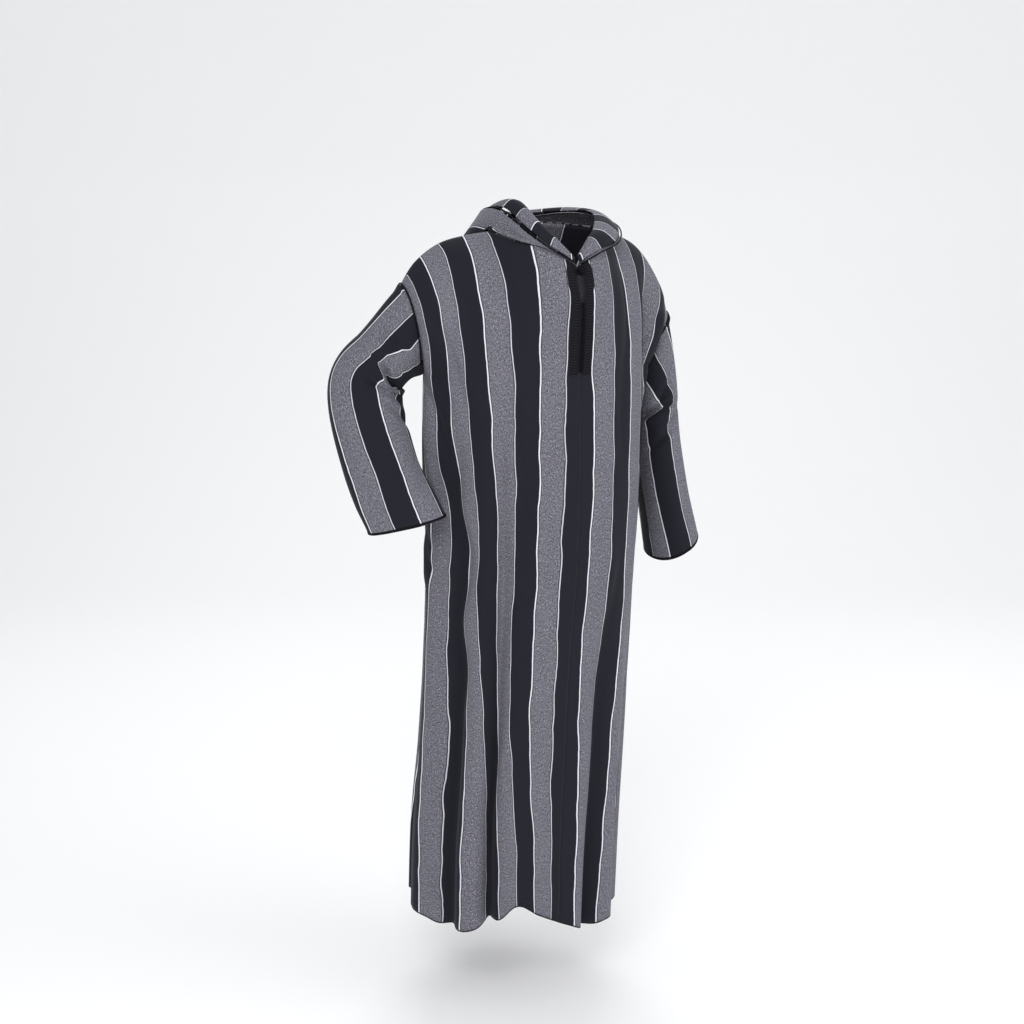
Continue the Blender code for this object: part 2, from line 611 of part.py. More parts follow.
centreFront = (bodyPoints[right][0][:, 0] + bodyPoints[left][0][:, 0]) / 2
drops = np.linspace(slitEnd + 0.004, 0.246, 61)
rowPath = np.stack([np.interp(drops, -centreFront[:, 2], centreFront[:, i]) for i in range(2)] + [-drops], -1)
rowPath[:, 1] -= clothWall / 2 + 0.0030 + 0.0006
beads = 0.0011 + 0.0019 * np.sin(np.linspace(0, 15 * pi, len(drops))) ** 2
addTube("knot_row", rowPath, beads, darkWool, sides=5)

buttonAt = np.array([centreFront[0, 0], centreFront[0, 1] - 0.0145, centreFront[0, 2] - 0.006])
turns, rings = 10, 7
verts, faces = [buttonAt + np.array([0, 0, 0.006])], []
for r in range(1, rings):
    polar = pi * r / rings
    verts += [buttonAt + 0.006 * np.array([sin(polar) * cos(2 * pi * t / turns), sin(polar) * sin(2 * pi * t / turns),
                                           cos(polar)]) for t in range(turns)]
verts.append(buttonAt - np.array([0, 0, 0.006]))
for t in range(turns):
    n = (t + 1) % turns
    faces.append((0, 1 + t, 1 + n))
    faces += [(1 + r * turns + t, 1 + (r + 1) * turns + t, 1 + (r + 1) * turns + n, 1 + r * turns + n)
              for r in range(rings - 2)]
    faces.append((1 + (rings - 2) * turns + t, len(verts) - 1, 1 + (rings - 2) * turns + n))
addObject("knot_button", verts, faces, darkWool)
turn = np.linspace(0.15 * pi, 1.85 * pi, 15)
loopPath = buttonAt + np.stack([0.0078 * np.sin(turn), np.full_like(turn, 0.0010), 0.0078 * np.cos(turn)], -1)
addTube("button_loop", loopPath, 0.0010, darkWool, sides=5)
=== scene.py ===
from math import pi, sin, cos, radians
import bpy
import numpy as np
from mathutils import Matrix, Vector, kdtree


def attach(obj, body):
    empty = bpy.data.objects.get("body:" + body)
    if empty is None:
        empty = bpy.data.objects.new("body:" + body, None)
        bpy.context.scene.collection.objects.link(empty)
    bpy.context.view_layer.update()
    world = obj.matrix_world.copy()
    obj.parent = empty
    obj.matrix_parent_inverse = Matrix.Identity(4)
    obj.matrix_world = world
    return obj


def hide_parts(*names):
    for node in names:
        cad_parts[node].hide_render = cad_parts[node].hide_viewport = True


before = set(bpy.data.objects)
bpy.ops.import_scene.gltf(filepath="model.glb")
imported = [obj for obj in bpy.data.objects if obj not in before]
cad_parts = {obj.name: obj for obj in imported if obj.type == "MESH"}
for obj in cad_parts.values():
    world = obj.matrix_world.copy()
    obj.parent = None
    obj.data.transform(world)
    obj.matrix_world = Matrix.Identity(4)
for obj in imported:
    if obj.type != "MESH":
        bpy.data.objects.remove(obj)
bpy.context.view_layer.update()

right, left = -1, 1
words = {right: "right", left: "left"}

# cut of the robe, in metres; drops are below the neck
cut = {
    "wall": 0.0016, "seamGap": 0.0003,
    "underarm": 0.250, "hem": 1.360,
    "edgeAtArmhole": 0.333, "edgeAtHem": 0.440, "neckHalf": 0.120,
    "braidInner": 0.0045, "braidOuter": 0.0235,
    "slitTop": 0.056, "slitEnd": 0.112,
    "pocketTop": 0.535, "pocketEnd": 0.690,
}
# how finely the visual pieces are meshed
fine = {"upper": 32, "lower": 112, "neckColumns": 36, "armColumns": 62, "join": 14, "sleeve": 104,
        "hoodRows": 52, "clearRows": 78}

stripes = {"period": 0.096, "black": 0.0235, "white": 0.0026, "dark": 0.0016, "soft": 0.00035}
colours = {
    "black": (0.0095, 0.0098, 0.0150, 1), "blackHigh": (0.0170, 0.0172, 0.0250, 1),
    "greyDark": (0.036, 0.035, 0.046, 1), "greyMid": (0.144, 0.1425, 0.168, 1),
    "greyPale": (0.420, 0.412, 0.480, 1), "white": (0.78, 0.78, 0.84, 1),
    # thread and chain are painted highlights: the raised threads and the chain stitches of the black trim are
    # coloured lighter than its own black
    "trim": (0.0009, 0.0009, 0.0013, 1), "threadHighlight": (0.0085, 0.0085, 0.0115, 1),
    "chain": (0.017, 0.017, 0.022, 1),
    "floor": (0.96, 0.96, 0.96, 1),
}

# where each level ring of the body passes: centre front, the two sides, centre back
ringNames = ("drop", "frontX", "frontY", "rightX", "leftX", "sideY", "backX", "backY")
ringRows = (
    (0.25,  0.000, -0.120, -0.240, 0.208, 0.040, -0.012, 0.165),
    (0.40, -0.004, -0.132, -0.240, 0.202, 0.045, -0.015, 0.178),
    (0.60, -0.010, -0.136, -0.232, 0.194, 0.050, -0.018, 0.185),
    (0.80, -0.022, -0.128, -0.234, 0.188, 0.060, -0.022, 0.200),
    (1.00, -0.025, -0.116, -0.240, 0.184, 0.072, -0.026, 0.228),
    (1.20, -0.026, -0.104, -0.250, 0.180, 0.085, -0.030, 0.262),
    (1.36, -0.024, -0.096, -0.252, 0.178, 0.092, -0.032, 0.280),
)
# hanging folds: degrees round from centre front at the underarm and at the hem, half width in
# degrees, depth in mm at three heights (minus = ridge), drop where it begins, degrees it wanders
frontFolds = {
    right: (
        ( 37,  36, 5.0,   8,  26,  38, 0.20, 0.0),
        ( 49,  50, 6.0,   0,  -6,  -6, 0.40, 0.0),
        ( 63,  62, 5.5,  14,  20,  22, 0.30, 3.5),
        ( 84,  86, 7.0, -10, -10, -14, 0.10, 0.0),
        (103, 106, 6.5,  30,  26,  30, 0.00, 0.0)),
    left: (
        ( 20,  19, 5.0,   0,  10,  30, 0.60, 0.0),
        ( 33,  34, 5.0,   0,  -6, -10, 0.60, 0.0),
        ( 62,  50, 6.5,  34,  18,  14, 0.00, 0.0),
        ( 80,  76, 6.0, -12,  -8,  -8, 0.05, 0.0),
        ( 98,  98, 7.0,  36,  26,  24, 0.00, 0.0)),
}
backFolds = {
    right: (
        (124, 126, 5.5, 22, 22, 26, 0.00, 0.0),
        (144, 145, 5.0, 20, 22, 24, 0.02, 0.0),
        (163, 163, 4.5, 18, 20, 22, 0.02, 0.0)),
    left: (
        (118, 121, 5.5, 24, 22, 26, 0.00, 0.0),
        (139, 141, 5.0, 22, 22, 24, 0.02, 0.0),
        (160, 160, 4.5, 18, 20, 22, 0.02, 0.0)),
}
hemNames = ("x", "front", "back")
hemRows = (
    (-0.300,  0.010, 0.030), (-0.200,  0.014, 0.020), (-0.155,  0.026, 0.010),
    (-0.115,  0.064, 0.004), (-0.070,  0.040, 0.000), ( 0.000,  0.004, 0.000),
    ( 0.045, -0.016, 0.000), ( 0.110, -0.006, 0.004), ( 0.200,  0.008, 0.010),
)
shoulderNames = ("width", "rightX", "rightY", "rightZ", "leftX", "leftY", "leftZ")
shoulderRows = (
    (0.120, -0.120, 0.018,  0.010, 0.120, 0.018,  0.010),
    (0.165, -0.165, 0.020,  0.004, 0.163, 0.020, -0.002),
    (0.220, -0.218, 0.024, -0.010, 0.209, 0.024, -0.028),
    (0.275, -0.262, 0.028, -0.040, 0.246, 0.028, -0.080),
    (0.333, -0.290, 0.032, -0.082, 0.276, 0.032, -0.150),
)
neckNames = ("width", "frontY", "frontZ", "backY", "backZ")
neckRows = (
    (0.000, -0.106, -0.052, 0.078, 0.024),
    (0.030, -0.101, -0.034, 0.078, 0.023),
    (0.060, -0.084, -0.018, 0.075, 0.021),
    (0.090, -0.052, -0.009, 0.062, 0.017),
    (0.120,  0.018,  0.010, 0.018, 0.010),
)
sleeveNames = ("way", "x", "y", "z", "across", "deep")
sleeveRows = {
    right: (
        (0.00, -0.268, 0.045, -0.160, 0.085, 0.075),
        (0.25, -0.304, 0.070, -0.210, 0.063, 0.058),
        (0.50, -0.345, 0.086, -0.278, 0.069, 0.054),
        (0.75, -0.336, 0.040, -0.416, 0.070, 0.046),
        (1.00, -0.312, -0.030, -0.528, 0.072, 0.038)),
    left: (
        (0.00, 0.245, 0.045, -0.215, 0.075, 0.050),
        (0.25, 0.256, 0.050, -0.300, 0.072, 0.046),
        (0.50, 0.260, 0.040, -0.390, 0.070, 0.043),
        (0.75, 0.263, 0.010, -0.500, 0.070, 0.042),
        (1.00, 0.270, -0.020, -0.612, 0.070, 0.042)),
}
sleeveJoin = 0.30
# how far the cuff edge is drawn up all round, and at the outer line
cuffLift = {right: (0.008, -0.013), left: (0.0, 0.028)}
# hood mouth: outer edge, inner edge of its turned facing, from the front V (0) past the shoulder
# (1) to centre back (2); hang is how fully the bag drops there
hoodNames = ("way", "edgeX", "edgeY", "edgeZ", "innerX", "innerY", "innerZ", "hang")
hoodRows = {
    right: (
        (0.00, 0.004, -0.1120, -0.046, 0.004, -0.100, -0.041, 0.00),
        (0.33, 0.054, -0.0960, -0.016, 0.036, -0.086, -0.004, 0.00),
        (0.66, 0.078, -0.0600,  0.012, 0.056, -0.054,  0.026, 0.02),
        (1.00, 0.092,  0.0150,  0.050, 0.066,  0.008,  0.063, 0.05),
        (1.50, 0.082,  0.1220,  0.047, 0.062,  0.100,  0.046, 0.55),
        (2.00, 0.0006, 0.1900,  0.030, 0.0006, 0.164,  0.038, 1.00)),
    left: (
        (0.00, 0.004, -0.1120, -0.046, 0.004, -0.100, -0.041, 0.00),
        (0.33, 0.052, -0.1040, -0.026, 0.038, -0.084, -0.006, 0.00),
        (0.66, 0.108, -0.0740, -0.008, 0.068, -0.056,  0.014, 0.02),
        (1.00, 0.154,  0.0100,  0.018, 0.102,  0.008,  0.040, 0.02),
        (1.50, 0.120,  0.1220,  0.044, 0.092,  0.104,  0.046, 0.55),
        (2.00, 0.0006, 0.1900,  0.030, 0.0006, 0.164,  0.038, 1.00)),
}
bagNames = ("way", "out", "down")
bagRows = ((0.00, 0.000, 0.00), (0.25, 0.066, 0.20), (0.50, 0.088, 0.31), (0.75, 0.118, 0.17),
           (1.00, 0.000, 0.00))

# small creases laid on the body: width and drop where each starts and ends,
# half width in mm, depth in mm (minus = ridge)
bodyCreases = {
    (right, "front"): (
        (0.300, 0.120, 0.215, 0.330,  9,   5.1),
        (0.318, 0.170, 0.250, 0.360,  8, -4.1),
        (0.330, 0.235, 0.262, 0.430, 10,   5.8),
        (0.325, 0.280, 0.290, 0.520,  9, -3.7),
        (0.225, 0.060, 0.205, 0.230, 12,   2.7),
        (0.150, 0.250, 0.120, 0.620, 12,   2.7),
        (0.075, 0.300, 0.060, 0.700, 14, -2.4),
        (0.330, 0.520, 0.270, 0.640, 11, -5.1),
        (0.345, 0.600, 0.285, 0.760, 11,   5.4),
        (0.100, 0.860, 0.135, 1.300, 14, -3.7),
        (0.080, 0.770, 0.030, 0.850,  8,   3.4),
        (0.066, 0.850, 0.024, 0.905,  7,  -2.6),
        (0.090, 0.480, 0.045, 0.610,  9,   2.8)),
    (right, "back"): (
        (0.290, 0.130, 0.215, 0.330,  9,   5.1),
        (0.250, 0.420, 0.235, 0.860, 12, -3.4),
        (0.090, 0.260, 0.110, 0.700, 12,   3.1),
        (0.160, 0.800, 0.180, 1.300, 13,   3.7)),
    (left, "front"): (
        (0.022, 0.690, 0.060, 0.640,  8,   3.0),
        (0.026, 0.905, 0.070, 0.840,  8,   3.2),
        (0.130, 0.150, 0.100, 0.420, 13,   3.1),
        (0.310, 0.090, 0.215, 0.300,  9,   5.4),
        (0.325, 0.150, 0.235, 0.350,  8, -4.4),
        (0.330, 0.220, 0.250, 0.470,  9,   4.8),
        (0.060, 0.450, 0.075, 0.860, 13, -2.7),
        (0.110, 0.600, 0.090, 1.050, 12,   3.1),
        (0.270, 0.620, 0.300, 1.120, 13,   4.1)),
    (left, "back"): (
        (0.300, 0.150, 0.220, 0.340,  9,   5.1),
        (0.235, 0.380, 0.255, 0.820, 12, -3.7),
        (0.080, 0.300, 0.070, 0.760, 12,   3.1),
        (0.150, 0.850, 0.140, 1.320, 13, -3.4)),
}
# creases on the sleeves: way down the arm and degrees round (0 outer line, 90 front, 180 under)
# where each starts and ends, half width in mm, depth in mm
sleeveCreases = {
    right: (
        (0.16,  40, 0.36, 130, 11,  9.6),
        (0.24,  70, 0.50, 165,  9, -6.4),
        (0.32, 100, 0.48, 190, 10, 12.0),
        (0.40, 120, 0.56, 205,  8, -5.6),
        (0.46,  85, 0.58, 170,  9,  9.6),
        (0.56, 110, 0.66, 190,  9,  6.4),
        (0.62,  30, 0.92,  60, 12,  4.2),
        (0.55, -30, 0.80, -60, 12,  4.8),
        (0.25, -40, 0.50, -110, 12,  6.4),
        (0.42, -90, 0.56, -150, 10,  8.0)),
    left: (
        (0.14,  60, 0.34, 120, 10,  8.0),
        (0.28,  90, 0.44, 165,  9,  9.6),
        (0.36,  40, 0.52, 110,  9,  8.8),
        (0.48,  70, 0.60, 150,  9,  8.0),
        (0.60,  80, 0.95,  95, 12,  4.8),
        (0.25, -40, 0.45, -120, 11,  6.4),
        (0.50, -60, 0.66, -140, 10,  6.4),
        (0.65, -30, 0.95, -45, 12,  4.2)),
}
# folds of the sleeves that lie over: way and degrees at both ends, depth in mm, cloth hidden in mm
sleeveLaps = {
    right: (
        (0.30,  62, 0.46, 190,  9, 48),
        (0.12,  70, 0.30,  85,  8, 18)),
    left: (
        (0.34,  60, 0.46, 170, 10, 40),),
}

# how far the stripes are drawn round by cloth lost in the folds of the front, in mm: a row for
# each drop, a column for each width from the centre front
drawnWidths = (0.000, 0.040, 0.080, 0.130, 0.180, 0.230, 0.280, 0.333, 0.440)
drawnRows = {
    right: (
        (0.00,   0,   0,   0,   0,   0,   0,   0,   0,  0),
        (0.10,   0,  -3,  -6,  -8, -10,  -8,   0,   4,  0),
        (0.20,   0,  -5,  -8, -11, -13,  -6,  12,  20,  0),
        (0.30,   0,  -8, -11,  -8,  -6,   4,  20,  28,  0),
        (0.40,   0,  -9, -12,  -9,  -4,   8,  22,  30,  0),
        (0.47,   0, -10, -13,  -7,   2,  16,  31,  36,  0),
        (0.57,   0, -13, -14,  -6,   5,  20,  38,  36,  0),
        (0.65,   0, -12, -11,  -4,   3,  14,  28,  24,  0),
        (0.79,   0,  -6,  -6,   3,  16,  28,  26,  14,  0),
        (0.94,   0,  -5,  -4,  14,  27,  38,  30,  14,  0),
        (1.08,   0,  -2,   7,  28,  38,  34,  22,  10,  0),
        (1.20,   0,   8,  20,  38,  42,  30,  18,   8,  0),
        (1.36,   0,  12,  26,  42,  42,  26,  14,   6,  0)),
    left: (
        (0.00,   0,   0,   0,   0,   0,   0,   0,   0,  0),
        (0.20,   0,  -2,  -6,  -6,   0,   0,   0,   0,  0),
        (0.40,   0,  -6,  -4,  -3,   0,   0,   0,   0,  0),
        (0.57,   0,   0,  -2,  -2,   0,   0,   0,   0,  0),
        (0.79,   0,   0,  -4,  -4,   0,   0,   0,   0,  0),
        (0.94,   0,  -4,   0,   0,   0,   0,   0,   0,  0),
        (1.08,   0, -10,  -2,   0,   0,   0,   0,   0,  0),
        (1.36,   0, -10,  -4,   0,   0,   0,   0,   0,  0)),
}
# how the stripes waver: mm to each side, metres from wave to wave, turn per metre of width, start
waverRows = ((0.90, 0.173, 31, 0.0), (0.72, 0.097, -47, 1.3), (0.27, 0.061, 70, 2.1))


def ease(t):
    t = np.clip(t, 0.0, 1.0)
    return t * t * (3 - 2 * t)


def unit(v):
    return v / (np.linalg.norm(v, axis=-1, keepdims=True) + 1e-12)


def column(rows, names, name):
    return np.array([row[names.index(name)] for row in rows], float)


def hermite(t, p0, t0, p1, t1, h=1.0):
    return ((2 * t**3 - 3 * t**2 + 1) * p0 + (t**3 - 2 * t**2 + t) * h * t0
            + (3 * t**2 - 2 * t**3) * p1 + (t**3 - t**2) * h * t1)


def along(xs, ys, x):
    xs, ys = np.asarray(xs, float), np.asarray(ys, float)
    x = np.clip(np.asarray(x, float), xs[0], xs[-1])
    slope = np.gradient(ys, xs)
    i = np.clip(np.searchsorted(xs, x, side="right") - 1, 0, len(xs) - 2)
    h = xs[i + 1] - xs[i]
    t = (x - xs[i]) / h
    return hermite(t, ys[i], slope[i], ys[i + 1], slope[i + 1], h)


def tableAt(rows, names, name, at):
    return along(column(rows, names, names[0]), column(rows, names, name), at)


def bridge(p0, t0, p1, t1, k):
    return hermite(np.asarray(k, float)[..., None], p0, t0, p1, t1)


def downBody(drop):
    return (drop - cut["underarm"]) / (cut["hem"] - cut["underarm"])


def edgeAt(drop):
    return cut["edgeAtArmhole"] + (cut["edgeAtHem"] - cut["edgeAtArmhole"]) * np.clip(downBody(drop), 0, 1)


def foldPush(rows, side, degrees, drop):
    out = np.zeros_like(degrees)
    for top, hem, wide, high, mid, low, start, sway in rows[side]:
        swing = np.sin((drop - 0.42) * 2 * pi / 0.24) * ease((drop - 0.36) / 0.1) * ease((0.95 - drop) / 0.25)
        centre = top + (hem - top) * ease(downBody(drop)) + sway * swing
        deep = float(along((0.25, 0.80, 1.36), (high, mid, low), drop)) * ease((drop - start) / 0.22) / 1000
        out -= deep * np.exp(-((degrees - centre) / wide) ** 2)
    return out


ringsMade = {}


def halfRing(side, drop):
    key = (side, round(float(drop), 5))
    if key in ringsMade:
        return ringsMade[key]
    read = {n: float(tableAt(ringRows, ringNames, n, drop)) for n in ringNames[1:]}
    angle = np.linspace(0, pi, 721)
    degrees = np.degrees(angle)
    sideways, forward = np.sin(angle) ** 0.86, np.abs(np.cos(angle)) ** 0.86
    inFront = degrees < 90
    midX = np.where(inFront, read["frontX"], read["backX"])
    farY = np.where(inFront, read["frontY"], read["backY"])
    x = midX + (read["leftX" if side > 0 else "rightX"] - midX) * sideways
    y = read["sideY"] + (farY - read["sideY"]) * forward
    dx, dy = np.gradient(x), np.gradient(y)
    size = np.hypot(dx, dy) + 1e-12
    outX, outY = side * dy / size, -side * dx / size
    seen = foldPush(frontFolds, side, degrees, drop)
    behind = foldPush(backFolds, side, degrees, drop)
    low, high = 0.0, 3.0
    for _ in range(18):
        scale = (low + high) / 2
        foldX, foldY = x + outX * (seen + scale * behind), y + outY * (seen + scale * behind)
        if np.hypot(np.diff(foldX), np.diff(foldY)).sum() < 2 * edgeAt(drop):
            low = scale
        else:
            high = scale
    width = np.concatenate([[0], np.cumsum(np.hypot(np.diff(foldX), np.diff(foldY)))])
    ringsMade[key] = (width * 2 * edgeAt(drop) / width[-1], foldX, foldY)
    return ringsMade[key]


def ringPoint(side, width, drop):
    widths, xs, ys = halfRing(side, drop)
    x, y = np.interp(width, widths, xs), np.interp(width, widths, ys)
    behind = ease((y + 0.02) / 0.12)
    front, back = (tableAt(hemRows, hemNames, name, x) for name in ("front", "back"))
    lift = front * (1 - behind) + back * behind
    return np.stack([x, y, -drop + lift * ease((drop - 0.8) / 0.56)], -1)


def topPoint(side, width, face):
    word = words[side]
    half = cut["neckHalf"]
    w = np.minimum(width, half)
    neck = np.stack([side * w] + [tableAt(neckRows, neckNames, face + c, w) for c in "YZ"], -1)
    w = np.maximum(width, half)
    over = np.stack([tableAt(shoulderRows, shoulderNames, word + c, w) for c in "XYZ"], -1)
    return np.where((width < half)[..., None], neck, over)


def upperPoint(side, width, k, face):
    f = -1.0 if face == "front" else 1.0
    top = topPoint(side, width, face)
    low = ringPoint(side, width if face == "front" else 2 * cut["edgeAtArmhole"] - width, cut["underarm"])
    toArm = ease((width - 0.20) / 0.13)[..., None]
    toNeck = ease((cut["neckHalf"] - width) / 0.04)[..., None]
    leave = (np.array([0.0, f, -0.42]) * (1 - toArm)
             + np.array([0.0, f * 0.95, -0.35 if side < 0 else -0.2]) * toArm)
    leave = leave * (1 - toNeck) + np.array([0.0, f * 0.55, -0.8]) * toNeck
    arrive = np.array([0.0, 0.0, -1.0]) * (1 - toArm) + np.array([-side * 0.35, -f * 0.75, -0.5]) * toArm
    span = np.linalg.norm(low - top, axis=-1, keepdims=True)
    leave = unit(leave) * span * (1.0 + 0.25 * toArm)
    arrive = unit(arrive) * span * (0.9 + 0.3 * toArm)
    return bridge(top, leave, low, arrive, k)


def openness(drop, top, end, steep):
    middle, half = (top + end) / 2, (end - top) / 2
    return ease(steep * (1 - np.abs(drop - middle) / half))


def openBy(face, drop):
    if face == "back":
        return cut["seamGap"]
    return cut["seamGap"] / 2 + 0.0034 * openness(drop, cut["slitTop"], cut["slitEnd"], 1.6)


def sideGap(side, face, drop):
    if side == left:
        return cut["seamGap"]
    gape = 0.0055 if face == "front" else 0.0030
    return cut["seamGap"] + gape * openness(drop, cut["pocketTop"], cut["pocketEnd"], 1.4)


def gridNormals(points):
    return unit(np.cross(np.gradient(points, axis=0), np.gradient(points, axis=1)))


def lengths(points):
    step = np.linalg.norm(np.diff(points, axis=0), axis=-1)
    return np.concatenate([np.zeros((1, points.shape[1])), np.cumsum(step, axis=0)])


def turnedTo(out, towards):
    return out * np.sign((out * towards).sum(-1, keepdims=True))


def alongPath(path):
    return lengths(path[:, None])[:, 0]


def keepSide(points, side, gap):
    points[..., 0] = side * np.maximum(side * points[..., 0], gap)


def besideLine(across, down, a0, d0, a1, d1):
    # share of the way along the line, distance beside it, and the line's length
    line = np.array([a1 - a0, d1 - d0])
    size = np.hypot(*line)
    line = line / size
    t = ((across - a0) * line[0] + (down - d0) * line[1]) / size
    return t, (across - a0) * line[1] - (down - d0) * line[0], size


def creasePush(across, down, creases):
    # each crease is a soft trough or ridge along a slightly bowed line, fading at both ends
    out = np.zeros_like(across)
    for a0, d0, a1, d1, wide, deep in creases:
        t, off, size = besideLine(across, down, a0, d0, a1, d1)
        off = off + 0.10 * size * np.sin(pi * np.clip(t, 0, 1)) * (0.5 if deep > 0 else -0.4)
        fade = ease((t + 0.15) / 0.4) * ease((1.15 - t) / 0.5)
        out -= deep / 1000 * fade * np.exp(-(off / (wide / 1000)) ** 2)
    return out


def lapFold(across, down, a0, d0, a1, d1, deep, lost):
    # the cloth above the line tucks in under the cloth below it, and hides part of the stripes
    t, off, _ = besideLine(across, down, a0, d0, a1, d1)
    off = -off
    fade = ease((t + 0.05) / 0.3) * ease((1.1 - t) / 0.35)
    above = ease((0.005 - off) / 0.010)
    raised, sunk = np.exp(-((off - 0.009) / 0.013) ** 2), np.exp(-((off + 0.006) / 0.011) ** 2)
    push = deep * fade * (0.45 * raised - sunk)
    return push, lost * fade * above * np.exp(-np.clip(-off, 0, 1) / 0.07)


neckShare = cut["neckHalf"] / cut["edgeAtArmhole"]
shares = np.concatenate([np.linspace(0, neckShare, fine["neckColumns"] + 1),
                         np.linspace(neckShare, 1, fine["armColumns"] + 1)[1:]])
neckColumn = fine["neckColumns"]


def bodyGrid(side, face):
    # points, and for each its width from the centre line and its length from the top
    rows, across, drops = [], [], []
    for k in np.linspace(0, 1, fine["upper"] + 1)[:-1]:
        drop = -upperPoint(side, np.array([0.0]), np.array([k]), face)[0, 2]
        first, last = openBy(face, drop), cut["edgeAtArmhole"] - cut["seamGap"]
        width = first + shares * (last - first)
        rows.append(upperPoint(side, width, np.full_like(width, k), face))
        across.append(width)
        drops.append(drop)
    for drop in np.linspace(cut["underarm"], cut["hem"], fine["lower"] + 1):
        first, last = openBy(face, drop), edgeAt(drop) - sideGap(side, face, drop)
        width = first + shares * (last - first)
        rows.append(ringPoint(side, width if face == "front" else 2 * edgeAt(drop) - width, drop))
        across.append(width)
        drops.append(drop)
    rows, across, drops = np.array(rows), np.array(across), np.array(drops)
    below = np.where(drops >= cut["underarm"], drops, 0)
    if side == right and face == "front":
        gape = 0.007 * openness(below, cut["pocketTop"], cut["pocketEnd"], 1.4)
        rows[..., 0] -= gape[:, None] * ease((shares - 0.90) / 0.10)
    down = lengths(rows)
    out = gridNormals(rows)
    outward = rows - np.array([-0.015, 0.04, 0.0])
    outward[..., 2] = np.maximum(outward[..., 2] + 0.22, 0.0)
    out = turnedTo(out, outward)
    push = creasePush(across, np.broadcast_to(drops[:, None], across.shape),
                      bodyCreases[side, face])
    # still at the centre line, at the seams and at the top edge
    seam = np.array([edgeAt(d) for d in drops])[:, None]
    calm = ease((across - 0.026) / 0.03) * ease((seam - across) / 0.02) * ease(down / 0.05)
    rows = rows + out * (push * calm)[..., None]
    if face == "front":
        across = across + drawnRound(side, across, drops)
    across = across + wander(side * across, down) * ease(across / 0.03)
    return rows, across, down, out


def wander(across, down):
    # handmade cloth: the stripes waver by a millimetre or two
    return sum(share * np.sin(2 * pi * down / wave + turn * across + start)
               for share, wave, turn, start in waverRows) / 1000


def drawnRound(side, across, drops):
    rows = drawnRows[side]
    heights = [row[0] for row in rows]
    columns = [along(heights, [row[i + 1] for row in rows], drops) for i in range(len(drawnWidths))]
    return np.array([along(drawnWidths, c, a) for c, a in zip(np.array(columns).T, across)]) / 1000


def armhole(side):
    k = np.linspace(0, 1, fine["upper"] + 1)
    width = np.full_like(k, cut["edgeAtArmhole"])
    front, back = (upperPoint(side, width, k, face) for face in ("front", "back"))
    return np.concatenate([front, back[::-1][1:]])


def sleevePath(side, way):
    return np.array([float(tableAt(sleeveRows[side], sleeveNames, c, way)) for c in "xyz"])


def sleeveSection(side, way, count):
    ahead = unit(sleevePath(side, min(way + 0.02, 1.0)) - sleevePath(side, max(way - 0.02, 0.0)))
    level = 0.8 * ease((way - 0.75) / 0.25)
    ahead = unit(ahead * (1 - level) + np.array([0.0, 0.12, -1.0]) * level)
    across, deep = (float(tableAt(sleeveRows[side], sleeveNames, n, way)) for n in ("across", "deep"))
    outward = np.array([-1.0, 0.35, 0.35]) if side == right else np.array([1.0, 0.0, 0.2])
    outward = unit(outward - ahead * outward.dot(ahead))
    frontward = np.cross(outward, ahead)
    frontward = frontward if frontward[1] < 0 else -frontward
    a, b = (across, deep) if side == right else (deep, across)
    angle = np.linspace(0, 2 * pi, count + 1)
    c, s = np.cos(angle), np.sin(angle)
    c, s = np.sign(c) * np.abs(c) ** 0.92, np.sign(s) * np.abs(s) ** 0.92
    lift = (cuffLift[side][0] + cuffLift[side][1] * np.cos(angle)) * ease((way - 0.7) / 0.3)
    points = sleevePath(side, way) + a * c[:, None] * outward + b * s[:, None] * frontward
    return points - ahead * lift[:, None], ahead


bodies = {(side, face): bodyGrid(side, face) for side in (right, left) for face in ("front", "back")}
print("body grids made")

# the body's upper rows, which sleeves, hood and piping keep clear of
clearRows = fine["clearRows"]
bodyTree = kdtree.KDTree(sum(b[0][:clearRows].shape[0] * b[0].shape[1] for b in bodies.values()))
treeOut = []
for points, _, _, out in bodies.values():
    for p, n in zip(points[:clearRows].reshape(-1, 3), out[:clearRows].reshape(-1, 3)):
        bodyTree.insert(Vector(p), len(treeOut))
        treeOut.append(n)
bodyTree.balance()


# passes of pushing a piece off the body, how far beside a body point counts, the longest push
clearing = {"passes": 3, "beside": 0.009, "most": 0.05}


def keepClear(points, clear):
    flat = points.reshape(-1, 3).copy()
    room = np.broadcast_to(clear, points.shape[:-1]).reshape(-1)
    for _ in range(clearing["passes"]):
        for i, p in enumerate(flat):
            at, index = bodyTree.find(Vector(p))[:2]
            out = treeOut[index]
            offset = p - np.array(at)
            above = float(offset @ out)
            beside = np.linalg.norm(offset - out * above)
            if beside < clearing["beside"] and above < room[i]:
                flat[i] = p + out * min(room[i] - above, clearing["most"])
    return flat.reshape(points.shape)


def nearestOut(points):
    return np.array([treeOut[bodyTree.find(Vector(p))[1]] for p in points])


